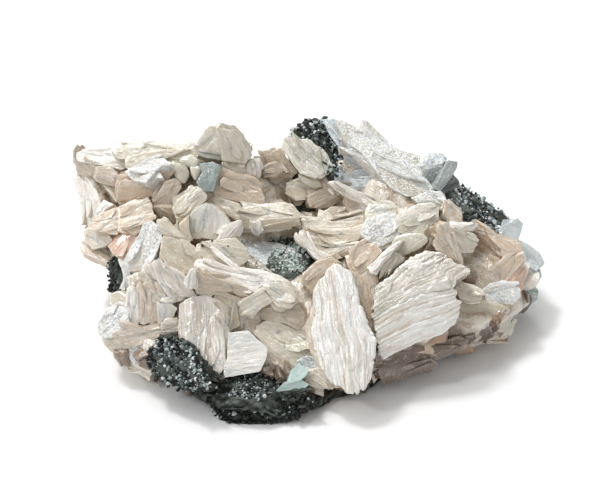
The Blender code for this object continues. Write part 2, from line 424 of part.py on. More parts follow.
# Blades on the far side, which the viewer doesn't see: (foot, tip, width, thickness)
BACK_BLADES = {
    "back_crest_left": ((-44, 21, 21), (-50, 31, 26), 13, 5),
    "back_crest_middle": ((-33, 23, 21), (-36, 34, 28), 14, 5),
    "back_pyramid": ((-22, 25, 21), (-24, 37, 27), 13, 6),
    "back_saddle": ((-10, 24, 16), (-11, 36, 21), 12, 5),
    "back_notch": ((-16, 22, 10), (-19, 37, 11), 14, 6),
    "back_low_left": ((-32, 16, 9), (-40, 32, 12), 16, 6),
    "back_left_end": ((-44, 10, 10), (-55, 20, 14), 14, 6),
    "back_slab_low": ((14, 22, 16), (19, 35, 19), 16, 6),
    "back_slab_mid": ((27, 17, 16), (33, 28, 19), 14, 6),
    "back_right": ((46, 3, 10), (56, 9, 11), 12, 6),
}

NODES = {
    STILBITE: ((0.78, 0.68, 0.60), 0.38),
    BASALT: ((0.07, 0.08, 0.075), 0.75),
    "apophyllite_front": ((0.62, 0.80, 0.74), 0.15),
    "apophyllite_hollow": ((0.50, 0.58, 0.54), 0.15),
    "apophyllite_rim": ((0.72, 0.80, 0.82), 0.15),
    "apophyllite_side_upper": ((0.36, 0.40, 0.36), 0.18),
    "apophyllite_side_lower": ((0.36, 0.40, 0.36), 0.18),
    "apophyllite_ridge": ((0.50, 0.53, 0.53), 0.2),
    "quartz_pocket": ((0.52, 0.55, 0.56), 0.25),
}


def sight_place(across, down, height):
    """Point at a height over the table that the viewer sees at a place in the picture."""
    up = Vector((0, math.sin(SIGHT_ELEVATION), math.cos(SIGHT_ELEVATION)))
    back = Vector((0, -math.cos(SIGHT_ELEVATION), math.sin(SIGHT_ELEVATION)))
    eye = SIGHT_AIM + back * SIGHT_DISTANCE
    seen = SIGHT_AIM + Vector((across - PICTURE_MIDDLE[0], 0, 0)) * PICTURE_UNIT
    seen += up * (PICTURE_MIDDLE[1] - down) * PICTURE_UNIT
    ray = seen - eye
    return eye + ray * ((height - eye.z) / ray.z), ray.normalized(), eye


def face_corners(seen, height, face):
    """Corners in space of a flat face, from its corners in the picture."""
    middle = np.mean(seen, axis=0)
    anchor = sight_place(*middle, height)[0]
    normal = Vector(face).normalized()
    corners = []
    for across, down in seen:
        _, ray, eye = sight_place(across, down, height)
        corners.append(eye + ray * ((anchor - eye).dot(normal) / ray.dot(normal)))
    return corners, normal


def closed_mesh(name, rings):
    """Solid through rings of equal length, closed at both ends, with its faces turned out."""
    builder = bmesh.new()
    rows = [[builder.verts.new(point) for point in ring] for ring in rings]
    count = len(rows[0])
    for lower, upper in zip(rows, rows[1:]):
        for i in range(count):
            j = (i + 1) % count
            builder.faces.new((lower[i], lower[j], upper[j], upper[i]))
    builder.faces.new(reversed(rows[0]))
    builder.faces.new(rows[-1])
    bmesh.ops.triangulate(builder, faces=builder.faces, quad_method="FIXED")
    bmesh.ops.recalc_face_normals(builder, faces=builder.faces)
    mesh = bpy.data.meshes.new(name)
    builder.to_mesh(mesh)
    builder.free()
    return mesh


def prism(name, seen, height, face, depth, grow=0.0):
    """Crystal under a flat face, narrowing a little towards its root."""
    corners, normal = face_corners(seen, height, face)
    middle = sum(corners, Vector()) / len(corners)
    rings = []
    for level, scale in ((grow, 1.0), (-depth - grow, ROOT_SCALE)):
        ring = []
        for corner in corners:
            spoke = corner - middle
            out = spoke.normalized() * grow
            ring.append((middle + spoke * scale + out + normal * level) * MM)
        rings.append(ring)
    return closed_mesh(name, rings)


def blade(name, foot, tip, width, thickness):
    """Flat six-sided blade from its foot to a roof-shaped tip."""
    foot = Vector(foot)
    along = (Vector(tip) - foot).normalized()
    across = along.cross(Vector((0, 0, 1))).normalized() * width / 2
    depth = across.cross(along).normalized() * thickness / 2
    length = (Vector(tip) - foot).length
    section = [(-1, 0), (-0.8, 1), (0.8, 1), (1, 0), (0.8, -1), (-0.8, -1)]
    rings = []
    for part, shrink in ((0, 0.8), (0.85, 1.0), (1.0, 0.55)):
        middle = foot + along * length * part
        rings.append([(middle + across * x * shrink + depth * z * shrink) * MM
                      for x, z in section])  # fmt: skip
    return closed_mesh(name, rings)


def reach(table, angle):
    """Smooth reach of a mass from the middle at an angle, from its values every 15 degrees."""
    place = math.degrees(angle) / 15 % len(table)
    first = int(place)
    part = (1 - math.cos((place - first) * math.pi)) / 2
    return table[first % len(table)] * (1 - part) + table[(first + 1) % len(table)] * part


def height_at(anchors, x, y):
    """Height of a mass's top, from the nearest chosen heights."""
    weights = [1 / ((x - px) ** 2 + (y - py) ** 2 + 4) ** 2 for px, py, _ in anchors]
    return sum(w * h for w, (_, _, h) in zip(weights, anchors)) / sum(weights)


def mound(name, reaches, anchors, floor):
    """Closed mass over a flat base: its side leans out, and its top follows chosen heights."""
    rings = []
    for part, rise in SIDE_PROFILE + tuple((part, 1.0) for part in TOP_PARTS):
        ring = []
        for step in range(ANGLE_STEPS):
            angle = 2 * math.pi * step / ANGLE_STEPS
            radius = reach(reaches, angle)
            x, y = radius * part * math.cos(angle), radius * part * math.sin(angle)
            top = height_at(anchors, x, y)
            ring.append(Vector((x, y, floor + rise * (top - floor))) * MM)
        rings.append(ring)
    return closed_mesh(name, rings)


def add_object(name, mesh, hidden=False):
    """Links a mesh as an object; a helper is hidden from renders."""
    thing = bpy.data.objects.new(name, mesh)
    bpy.context.scene.collection.objects.link(thing)
    if hidden:
        thing.hide_render = True
        thing.display_type = "WIRE"
    return thing


def evaluated_mesh(thing):
    """The object's mesh with its modifiers applied."""
    graph = bpy.context.evaluated_depsgraph_get()
    return bpy.data.meshes.new_from_object(thing.evaluated_get(graph))


def boolean(thing, operation, others):
    """Joins a mesh with other solids, or cuts them from it."""
    group = bpy.data.collections.new(thing.name + "_" + operation.lower())
    helpers = [add_object(f"{thing.name}_helper_{i}", mesh, hidden=True)
               for i, mesh in enumerate(others)]  # fmt: skip
    for helper in helpers:
        group.objects.link(helper)
    modifier = thing.modifiers.new(operation.title(), "BOOLEAN")
    modifier.operation = operation
    modifier.operand_type = "COLLECTION"
    modifier.collection = group
    # The exact solver leaves some open edges where many crystals cross
    modifier.solver = "MANIFOLD"
    mesh = evaluated_mesh(thing)
    thing.modifiers.clear()
    thing.data = mesh
    for helper in helpers:
        bpy.data.objects.remove(helper)
    bpy.data.collections.remove(group)


def thin_out(thing, share):
    """Takes away the corners that matter least to the shape."""
    modifier = thing.modifiers.new("Decimate", "DECIMATE")
    modifier.ratio = share
    mesh = evaluated_mesh(thing)
    thing.modifiers.clear()
    thing.data = mesh


def keep_largest(thing):
    """Leaves only the largest connected piece, as triangles."""
    builder = bmesh.new()
    builder.from_mesh(thing.data)
    left = set(builder.verts)
    pieces = []
    while left:
        piece, edge = set(), {left.pop()}
        while edge:
            vert = edge.pop()
            piece.add(vert)
            near = {e.other_vert(vert) for e in vert.link_edges} & left
            left -= near
            edge |= near
        pieces.append(piece)
    pieces.sort(key=len, reverse=True)
    for piece in pieces[1:]:
        bmesh.ops.delete(builder, geom=list(piece), context="VERTS")
    bmesh.ops.triangulate(builder, faces=builder.faces)
    builder.to_mesh(thing.data)
    builder.free()


def touching_spots(mesh):
    """Middles of the edges where the solid only touches itself, in millimetres."""
    points = np.array([vert.co for vert in mesh.vertices]) / MM
    faces = np.array([face.vertices for face in mesh.polygons])
    same = np.unique(np.round(points / TOUCHING), axis=0, return_inverse=True)[1].reshape(-1)
    ends = np.sort(same[faces[:, [0, 1, 1, 2, 2, 0]]].reshape(-1, 2), axis=1)
    places = (points[faces[:, [0, 1, 2]]] + points[faces[:, [1, 2, 0]]]).reshape(-1, 3) / 2
    ends, first, counts = np.unique(ends, axis=0, return_index=True, return_counts=True)
    bad = (counts != 2) & (ends[:, 0] != ends[:, 1])
    return [Vector(place) for place in places[first[bad]]]


def grain(spot, radius, turn):
    """Small eight-sided solid round a spot, in millimetres."""
    builder = bmesh.new()
    bmesh.ops.create_icosphere(builder, subdivisions=1, radius=radius * MM)
    bmesh.ops.rotate(builder, verts=builder.verts, matrix=Euler((turn, 2 * turn, 0)).to_matrix())
    bmesh.ops.translate(builder, verts=builder.verts, vec=spot * MM)
    mesh = bpy.data.meshes.new("grain")
    builder.to_mesh(mesh)
    builder.free()
    return mesh


def add_grains(grains, spots):
    """Puts a grain at each new spot, and widens a grain that a spot lies close to."""
    for spot in spots:
        near = [other for other in grains if (other[0] - spot).length < 2 * GRAIN_RADIUS]
        if near:
            near[0][1] += GRAIN_STEP
        else:
            grains.append([spot, GRAIN_RADIUS])


def dress(thing):
    """Gives a node its colour and roughness."""
    colour, roughness = NODES[thing.name]
    material = bpy.data.materials.new(thing.name)
    material.use_nodes = True
    shader = material.node_tree.nodes["Principled BSDF"]
    shader.inputs["Base Color"].default_value = (*colour, 1)
    shader.inputs["Roughness"].default_value = roughness
    thing.data.materials.clear()
    thing.data.materials.append(material)


def crystals_of(node, grow=0.0):
    """Prisms of the crystals that belong to a node."""
    return [prism(name, *spec[1:], grow=grow)
            for name, spec in CRYSTALS.items() if spec[0] == node]  # fmt: skip


def grown_matrix():
    """Matrix with its clearance on every side, as a cutter."""
    mesh = mound("rock", MATRIX_REACH, MATRIX_HEIGHTS, 0)
    builder = bmesh.new()
    builder.from_mesh(mesh)
    builder.normal_update()
    shifts = [vert.normal * vert.calc_shell_factor() * CLEARANCE * MM for vert in builder.verts]
    for vert, shift in zip(builder.verts, shifts):
        vert.co += shift
    builder.to_mesh(mesh)
    builder.free()
    return mesh


def table_block():
    """Block that fills the table up to the clearance under the crystals, as a cutter."""
    side, depth = 300, 40
    corners = [(-1, -1), (1, -1), (1, 1), (-1, 1)]
    rings = [[Vector((x * side / 2, y * side / 2, z)) * MM for x, y in corners]
             for z in (-depth, CLEARANCE)]  # fmt: skip
    return closed_mesh("table", rings)


def build_matrix():
    """Basalt matrix with its flat underside on the table."""
    mesh = mound(BASALT, MATRIX_REACH, MATRIX_HEIGHTS, 0)
    return add_object(BASALT, mesh)


def build_stilbite(guests):
    """All the stilbite, grown together, cut clear of the matrix and of the other minerals."""
    thing = add_object(STILBITE, bpy.data.meshes.new(STILBITE))
    solids = crystals_of(STILBITE)
    solids += [blade(name, *spec) for name, spec in BACK_BLADES.items()]
    cutters = [grown_matrix(), table_block()]
    cutters += [mesh for guest in guests for mesh in crystals_of(guest, grow=CLEARANCE)]
    grains = []
    for _ in range(GRAIN_ROUNDS):
        thing.data = mound(STILBITE, CRUST_REACH, CRUST_HEIGHTS, CRUST_FLOOR)
        fillers = [grain(spot, radius, turn) for turn, (spot, radius) in enumerate(grains)]
        boolean(thing, "UNION", solids + fillers)
        boolean(thing, "DIFFERENCE", cutters)
        keep_largest(thing)
        thin_out(thing, CORNERS_KEPT)
        spots = touching_spots(thing.data)
        if not spots:
            break
        add_grains(grains, spots)
    return thing


def build_guest(node):
    """Apophyllite or quartz grown on the stilbite, clear of the matrix."""
    first, *others = crystals_of(node)
    thing = add_object(node, first)
    if others:
        boolean(thing, "UNION", others)
    boolean(thing, "DIFFERENCE", [grown_matrix(), table_block()])
    keep_largest(thing)
    return thing


def main():
    for old in list(bpy.data.objects):
        bpy.data.objects.remove(old)
    guests = [node for node in NODES if node not in (STILBITE, BASALT)]
    things = [build_matrix(), build_stilbite(guests)]
    things += [build_guest(node) for node in guests]
    for thing in things:
        dress(thing)


main()
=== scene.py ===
"""Stilbite specimen, dressed: the looks of the crystals, the rock and the studio.

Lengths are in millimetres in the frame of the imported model, up to the last step of each mesh,
which writes metres. A crystal's face is given as the viewer sees it: its corners in quarter
millimetres across and down a 600 x 481 picture, its height over the table and its direction.
"""

import itertools
import logging
import math
from dataclasses import dataclass, replace
from enum import Enum
from typing import Optional, Union

import bpy
import numpy as np
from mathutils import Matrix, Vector

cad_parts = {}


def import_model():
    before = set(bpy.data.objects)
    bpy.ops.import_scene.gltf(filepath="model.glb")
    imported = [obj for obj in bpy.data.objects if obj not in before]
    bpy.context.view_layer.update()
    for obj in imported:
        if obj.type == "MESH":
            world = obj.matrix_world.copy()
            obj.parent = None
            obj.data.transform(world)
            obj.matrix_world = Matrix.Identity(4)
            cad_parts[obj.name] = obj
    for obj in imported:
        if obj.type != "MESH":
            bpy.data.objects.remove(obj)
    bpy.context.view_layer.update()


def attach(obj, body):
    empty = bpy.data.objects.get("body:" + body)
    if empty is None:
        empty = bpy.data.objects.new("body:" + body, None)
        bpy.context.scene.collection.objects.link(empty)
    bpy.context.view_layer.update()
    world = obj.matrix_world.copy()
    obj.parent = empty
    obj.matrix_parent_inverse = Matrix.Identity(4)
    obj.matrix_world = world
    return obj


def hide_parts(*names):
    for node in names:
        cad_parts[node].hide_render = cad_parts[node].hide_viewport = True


LOG = logging.getLogger("stilbite")
MM = 0.001
BODY = "root"
STILBITE = "stilbite_crystals"
BASALT = "basalt_matrix"

# The box that holds every mesh, and how far inside it the middles of the grains stay
BOX = ((-59.8, -35.9, 0.0), (60.1, 38.8, 40.4))
BOX_MARGIN = 0.5
# Factors and shifts that mix whole numbers into a random one
HASH_FACTORS = (73856093, 19349663, 83492791, 2654435761)
HASH_STEPS = ((15, 2246822519), (13, 3266489917))
HASH_MASK = 0xFFFFFFFF
# A crystal's face: points of its outline, limits of its grid and reach of its pale rim, a painted
# highlight
OUTLINE_POINTS = 720
FEWEST_CELLS = 7
MOST_CELLS = (150, 190)
RIM_HIGHLIGHT_REACH = 0.2
# Painted warm shade deep down a crystal's side: what is left of red, green and blue there
SIDE_DEPTH_SHADE = np.array([0.94, 0.87, 0.78])
# The smaller crystals on a crystal's sides: cells of a lath and of a plate, and their depth.
# A crystal with a half width under NARROW has only one.
LATH_CELL, PLATE_CELL = 0.5, 0.6
FRIEND_DEPTH = 3.5
NARROW = 0.9
# Heights at which a look down to the ground is tested
LOOK_HEIGHTS = np.linspace(42, 0.3, 130)

Array = np.ndarray
Pixel = tuple[int, int]
Colour = tuple[int, int, int]
Triple = tuple[float, float, float]
Paints = dict[str, bpy.types.Material]
Thing = bpy.types.Object


# The viewer


@dataclass(frozen=True)
class Sight:
    """Where the viewer stands, and how the picture's places turn into places in space."""

    elevation: float = math.radians(42.0)
    distance: float = 500.0
    aim: Triple = (-2.0, 10.0, 18.0)
    middle: tuple[float, float] = (300.0, 240.0)
    unit: float = 0.25

    @property
    def up(self) -> Array:
        """Direction that the picture's up has in space."""
        return np.array([0, math.sin(self.elevation), math.cos(self.elevation)])

    @property
    def eye(self) -> Array:
        """Triple of the viewer's eye."""
        back = np.array([0, -math.cos(self.elevation), math.sin(self.elevation)])
        return np.array(self.aim) + back * self.distance

    def rays(self, seen: Array) -> Array:
        """Unit directions from the eye through places in the picture.

        Args:
            seen: Places across and down the picture, one a row.

        Returns:
            One unit direction a row.
        """
        seen = np.atleast_2d(np.asarray(seen, float))
        across = (seen[:, :1] - self.middle[0]) * self.unit * np.array([[1.0, 0, 0]])
        rise = (self.middle[1] - seen[:, 1:]) * self.unit * self.up
        ways = np.array(self.aim) + across + rise - self.eye
        return ways / np.linalg.norm(ways, axis=1, keepdims=True)

    def at_height(self, seen: Array, height: Array) -> Array:
        """Points at given heights over the table that are seen at places in the picture.

        Args:
            seen: Places across and down the picture, one a row.
            height: One height, or one for each place.

        Returns:
            One point a row.
        """
        rays = self.rays(seen)
        return self.eye + rays * ((height - self.eye[2]) / rays[:, 2])[:, None]

    def on_plane(self, seen: Array, anchor: Array, normal: Array) -> Array:
        """Points of a plane that are seen at places in the picture.

        Args:
            seen: Places across and down the picture, one a row.
            anchor: A point of the plane.
            normal: The plane's unit normal.

        Returns:
            One point a row.
        """
        rays = self.rays(seen)
        return self.eye + rays * (((anchor - self.eye) @ normal) / (rays @ normal))[:, None]


SIGHT = Sight()


# Random fields


def lattice(places: Array, seed: int) -> Array:
    """Random value from -1 to 1 at each whole-numbered place, the same in every run.

    Args:
        places: Whole-numbered places, three to a row of the last axis.
        seed: Number of the random field.

    Returns:
        One value for each place.
    """
    key = seed * HASH_FACTORS[3]
    for i in range(3):
        key = key ^ (places[..., i].astype(np.int64) * HASH_FACTORS[i])
    key = key & HASH_MASK
    for shift, factor in HASH_STEPS:
        key = ((key ^ (key >> shift)) * factor) & HASH_MASK
    return ((key ^ (key >> 16)) & 0xFFFF) / 32767.5 - 1


def waves(points: Array, seed: int) -> Array:
    """Smooth random field: the lattice's values, blended between its spots by a cubic fade.

    Args:
        points: Places in units of the lattice, three to a row of the last axis.
        seed: Number of the random field.

    Returns:
        One value from -1 to 1 for each place.
    """
    cell = np.floor(points)
    part = points - cell
    fade = part * part * (3 - 2 * part)
    total = np.zeros(points.shape[:-1])
    for corner in itertools.product((0, 1), repeat=3):
        weight = np.prod(np.where(corner, fade, 1 - fade), axis=-1)
        total += weight * lattice(cell + corner, seed)
    return total


def rough(points: Array, seed: int, octaves: int = 3) -> Array:
    """Random field with finer and finer waves, each half as strong as the one before.

    Args:
        points: Places in units of the coarsest waves.
        seed: Number of the random field.
        octaves: How many waves are added up.

    Returns:
        One value from about -1 to 1 for each place.
    """
    parts = [waves(points * 2.0**i, seed + i) / 2.0**i for i in range(octaves)]
    return sum(parts) / 1.5


def plane_points(across: Array, along: Array, third: float = 0.0) -> Array:
    """Places for a random field, from two coordinates and a fixed third."""
    across, along = np.broadcast_arrays(across, along)
    return np.stack([across, along, np.full_like(across, third, dtype=float)], axis=-1)


# Colours


def linear(colour: Colour) -> Array:
    """A colour as the eye names it, 0 to 255, turned into amounts of light."""
    part = np.array(colour) / 255
    return np.where(part <= 0.04045, part / 12.92, ((part + 0.055) / 1.055) ** 2.4)


@dataclass(frozen=True)
class Finish:
    """How the surface of a kind of crystal looks.

    Lengths are in millimetres. Its face is made of strips along the fibres: each has its own
    height, its own tilt and its own tone.

    Attributes:
        light: The brighter of the two colours that its paint wanders between.
        shade: The darker one.
        paint: Name of its material.
        frost: Share of white, sugary cover.
        rim: How pale the face's rim is: painted highlight, as if light shone through its thin edge.
        streak: Height of the threads along the fibres.
        streak_width: Width of the coarsest threads.
        streak_length: Length of the coarsest threads.
        streak_paint: How much the threads change the colour: painted highlight on their ridges, painted
            shade in their hollows.
        terrace: Greatest height of a strip over or under the face.
        strip: Size of the strips.
        tilt: How much the strips lean.
        grit: Height of the fine grit.
        ragged: How far the outline wanders.
        bulge: Height of the face's crown.
        rounding: Reach of the corners' rounding, as a share of the outline.
        layer: How far the sides step in and out.
        cell: Size of the grid's cells.
        friends: How many smaller crystals have grown to its sides.
    """

    light: Colour
    shade: Colour
    paint: str = "satin"
    frost: float = 0.25
    rim: float = 0.15
    streak: float = 0.03
    streak_width: float = 0.6
    streak_length: float = 16.0
    streak_paint: float = 0.1
    terrace: float = 0.06
    strip: float = 3.0
    tilt: float = 0.06
    grit: float = 0.012
    ragged: float = 0.18
    bulge: float = 0.28
    rounding: float = 0.007
    layer: float = 0.22
    cell: float = 0.38
    friends: int = 4


class Look(Enum):
    """The finishes that the specimen's crystals have."""

    PEARL = Finish((238, 233, 224), (200, 186, 169), "pearl", 0.28, streak=0.06,
                   streak_paint=0.2)
    TABLET = Finish((244, 246, 244), (216, 216, 211), "pearl", 0.35, rim=0.4, streak=0.06,
                    streak_width=0.5, streak_length=30, streak_paint=0.25, terrace=0.05, tilt=0.02,
                    bulge=0.05, ragged=0.1, rounding=0.002, friends=0)
    SHEAF = Finish((246, 246, 242), (206, 186, 164), "pearl", 0.0, streak=0.15,
                   streak_width=0.5, streak_length=45, streak_paint=0.5, terrace=0.1, strip=1.2,
                   tilt=0.03, ragged=0.6, bulge=0.9, rounding=0.008, cell=0.24, friends=0)
    FAN = Finish((224, 221, 210), (175, 161, 140), "pearl", 0.2, streak=0.13, streak_width=0.6,
                 streak_length=26, streak_paint=0.35, terrace=0.22, strip=1.8, tilt=0.07,
                 grit=0.06, ragged=0.7, bulge=0.5, cell=0.25, friends=0)
    FROST = Finish((240, 236, 228), (211, 199, 183), "sugar", 0.6, rim=0.3, grit=0.1)
    SUGAR = Finish((233, 229, 217), (211, 205, 189), "sugar", 0.5, grit=0.1)
    WHITE = Finish((240, 236, 229), (203, 192, 179), "satin", 0.4, rim=0.3, streak=0.06,
                   streak_paint=0.2)
    COLD = Finish((224, 233, 235), (172, 185, 188), "sugar", 0.45, rim=0.3, grit=0.1)
    CREAM = Finish((232, 224, 208), (201, 190, 170), "satin", 0.12)
    PEACH = Finish((231, 215, 194), (204, 182, 158), "satin", 0.1)
    BEIGE = Finish((226, 216, 196), (196, 183, 161), "waxy", 0.08, friends=2)
    # Tan: a darker look for faces turned from the light, for sides and for recesses: painted shade
    TAN_SHADE = Finish((215, 200, 179), (174, 156, 135), "waxy", 0.06)
    # Brown: painted shade in hollows, inside the arch and under overhangs
    BROWN_SHADE = Finish((192, 166, 140), (146, 118, 92), "waxy", 0.05)
    AMBER = Finish((152, 130, 108), (98, 80, 62), "glaze", 0.05, terrace=0.05, bulge=0.6,
                   rounding=0.03, friends=1)
    BLUSH = Finish((226, 212, 195), (193, 174, 154), "satin", 0.14)
    ROSE = Finish((228, 194, 172), (206, 166, 142), "satin", 0.15)
    STRAW = Finish((222, 220, 202), (194, 191, 168), "waxy", 0.2, terrace=0.04, bulge=0.7,
                   rounding=0.03, friends=0)
    GREEN = Finish((221, 220, 204), (190, 188, 172), "satin", 0.3)
    MIST = Finish((227, 221, 206), (197, 187, 168), "glaze", 0.1, friends=2)
    GLASSY = Finish((233, 232, 224), (194, 186, 174), "glaze", 0.15, rim=0.5, streak=0.12,
                    streak_width=0.9, streak_paint=0.2, friends=1)
    MINT = Finish((226, 246, 240), (198, 230, 221), "mint", 0.15, terrace=0.08, bulge=0.05,
                  rounding=0.003, ragged=0.05, friends=0)
    CLEAR = Finish((236, 243, 245), (200, 214, 219), "clear", 0.15, terrace=0.06, bulge=0.05,
                   rounding=0.003, ragged=0.05, friends=0)
    GREY_GLASS = Finish((194, 210, 206), (142, 160, 156), "clear", 0.2, terrace=0.08,
                        ragged=0.1, friends=0)
    DARK_GLASS = Finish((92, 98, 96), (52, 58, 56), "clear", 0.1, terrace=0.08, friends=0)
    STRIPED = Finish((222, 230, 231), (140, 151, 153), "clear", 0.15, rim=0.4, streak=0.14,
                     streak_width=0.6, streak_paint=0.3, terrace=0.16, strip=0.8, ragged=0.05,
                     bulge=0.05, friends=0)
    QUARTZ = Finish((204, 212, 216), (154, 163, 168), "clear", 0.4, rim=0.3, friends=1)
    # Umber: the deepest painted shade, under the overhangs
    UMBER_SHADE = Finish((114, 88, 62), (66, 49, 34), "waxy", 0.0, friends=1)
    ROCKY = Finish((84, 90, 83), (10, 11, 9), "rock", 0.2, rim=0.0, streak=0.0, terrace=0.5,
                   strip=1.2, tilt=0.2, grit=0.3, ragged=1.2, bulge=0.8, rounding=0.02, layer=0.6,
                   cell=0.4, friends=2)


# Meshes


@dataclass
class Shell:
    """A closed surface on its way to a mesh: its corners, its faces, and at each corner its grain, its
    colour, and its frost and painted sheen.
    """

    corners: Array
    quads: Array
    triangles: Array
    grain: Array
    tint: Array
    frost_and_sheen: Array
    paint: str


def ring_faces(start: int, count: int, rows: int, pole: int) -> tuple[Array, Array]:
    """Faces of rings that go down from an outline and close at a pole.

    Args:
        start: Number of the first corner of the first ring.
        count: Corners in each ring.
        rows: How many rings there are.
        pole: Number of the corner that the last ring closes to.

    Returns:
        The quads between the rings, and the triangles round the pole.
    """
    spot = np.arange(count)
    after = (spot + 1) % count
    base = start + np.arange(rows - 1)[:, None] * count
    quads = np.stack([base + spot, base + count + spot, base + count + after, base + after], -1)
    last = start + (rows - 1) * count
    poles = np.stack([last + spot, np.full(count, pole), last + after], -1)
    return quads.reshape(-1, 4), poles


def along_line(line: Array) -> Array:
    """Distance of each point of a line from its start, along the line."""
    return np.concatenate([[0], np.cumsum(np.linalg.norm(np.diff(line, axis=0), axis=1))])


def even_points(line: Array, count: int, endpoint: bool) -> Array:
    """Points at equal distances along a flat line, with or without its end."""
    run = along_line(line)
    place = np.linspace(0, run[-1], count, endpoint=endpoint)
    return np.stack([np.interp(place, run, line[:, i]) for i in range(2)], -1)


def close_outline(flat: Array, count: int) -> Array:
    """An outline's corners, spread out into points at equal distances along it.

    Args:
        flat: Corners of the outline, one a row, in order.
        count: How many points to make.

    Returns:
        One point a row.
    """
    return even_points(np.vstack([flat, flat[:1]]), count, False)


def soften(loop: Array, width: float) -> Array:
    """Rounds a closed outline: each point moves to the weighted mean of those around it.

    Args:
        loop: Points of the outline, one a row, at equal distances.
        width: Reach of the mean, as a share of the whole outline.

    Returns:
        The rounded outline.
    """
    count = len(loop)
    far = np.minimum(np.arange(count), count - np.arange(count)) / count
    weight = np.exp(-0.5 * (far / width) ** 2)
    filtered = np.fft.ifft(np.fft.fft(loop, axis=0) * np.fft.fft(weight / weight.sum())[:, None],
                           axis=0)
    return np.real(filtered)


def stretch_between(loop: Array, first: int, last: int, count: int) -> Array:
    """The part of a closed outline from one point on to another, as equally spaced points.

    Args:
        loop: Points of the outline, one a row.
        first: Number of the point where the part starts.
        last: Number of the point where it ends.
        count: How many points to make.

    Returns:
        One point a row.
    """
    steps = max((last - first) % len(loop), 1)
    return even_points(loop[(first + np.arange(steps + 1)) % len(loop)], count, True)


def spread_patch(root: Array, tip: Array, left: Array, right: Array) -> Array:
    """Surface between four sides, as a function of u across and v along.

    Each point is the blend of root and tip at its u, plus the blend of left and right at its v,
    less the blend of the four corners.

    Args:
        root: Side at v = 0, from left to right.
        tip: Side at v = 1, from left to right.
        left: Side at u = 0, from root to tip.
        right: Side at u = 1, from root to tip.

    Returns:
        Points with v as the first axis and u as the second.
    """
    u = np.linspace(0, 1, len(root))[None, :, None]
    v = np.linspace(0, 1, len(left))[:, None, None]
    sides = (1 - v) * root[None] + v * tip[None] + (1 - u) * left[:, None] + u * right[:, None]
    ends = (1 - v) * ((1 - u) * root[0] + u * root[-1]) + v * ((1 - u) * tip[0] + u * tip[-1])
    return sides - ends


def spots(*numbers: int) -> tuple[Pixel, ...]:
    """Places in the picture, from numbers that say across and down by turns."""
    return tuple(zip(numbers[::2], numbers[1::2]))


@dataclass(frozen=True)
class Crystal:
    """A crystal under one flat face: what it looks like, and where the viewer sees that face.

    The face is the direction that its flat side looks in, and seen is that side's outline. The
    streak is the direction of its fibres in the picture, in degrees up from the right. With
    none given, they run along the face's longer side.
    """

    name: str
    look: Look
    height: float
    face: Triple
    seen: tuple[Pixel, ...]
    depth: float = 5
    streak: Optional[float] = None

    def plane(self) -> tuple[Array, Array]:
        """Middle and unit normal of the crystal's face."""
        normal = np.array(self.face, float)
        normal /= np.linalg.norm(normal)
        middle = SIGHT.at_height(np.mean(self.seen, axis=0), self.height)[0]
        return middle, normal

    def shells(self, seed: int) -> list[Shell]:
        """The crystal, and the smaller ones that have grown to its sides, as closed surfaces.

        A smaller one has the crystal's outline, scaled, turned, shifted and tilted a little,
        and lies a little lower.

        Args:
            seed: Number of the crystal's random fields.

        Returns:
            The crystal's own surface, then the others.
        """
        anchor, normal = self.plane()
        corners = SIGHT.on_plane(np.array(self.seen, float), anchor, normal)
        middle = corners.mean(axis=0)
        along = np.linalg.svd(corners - middle)[2][0]
        if self.streak is not None:
            turn = math.radians(self.streak)
            start = np.mean(self.seen, axis=0)
            ends = np.stack([start, start + 10 * np.array([math.cos(turn), -math.sin(turn)])])
            places = SIGHT.on_plane(ends, anchor, normal)
            along = places[1] - places[0]
        finish = self.look.value
        made = [plate_shell(corners, normal, self.depth, finish, along, seed)]
        along = along / np.linalg.norm(along)
        frame = np.stack([np.cross(along, normal), along])
        flat = (corners - middle) @ frame.T
        half = np.abs(flat).max(axis=0)
        rng = np.random.default_rng(seed)
        for i in range(finish.friends if half.min() > NARROW else 1):
            lath = i % 2 == 0
            turn, way = rng.normal(0, 0.16 if lath else 0.22), rng.uniform(0, 2 * math.pi)
            bend = np.array([[math.cos(turn), math.sin(turn)], [-math.sin(turn), math.cos(turn)]])
            if lath:
                scale = np.array([rng.uniform(0.2, 0.4), rng.uniform(0.7, 0.95)])
                shift = np.array([rng.uniform(-0.6, 0.6) * half[0], 0])
                drop = rng.uniform(-0.3, -0.05)
            else:
                scale = rng.uniform(0.55, 0.9, 2)
                shift = np.array([math.cos(way), math.sin(way)]) * np.minimum(half * 0.5, 2.4)
                drop = rng.uniform(0.4, 1.6)
            lean = normal + rng.normal(0, 0.12, 2) @ frame
            lean /= np.linalg.norm(lean)
            places = middle + ((flat * scale) @ bend + shift) @ frame - normal * drop
            looks = replace(finish, bulge=0.06) if lath else finish
            made.append(plate_shell(places, lean, min(self.depth, FRIEND_DEPTH), looks, along,
                                    seed + 31 * i + 17, LATH_CELL if lath else PLATE_CELL))
        return made


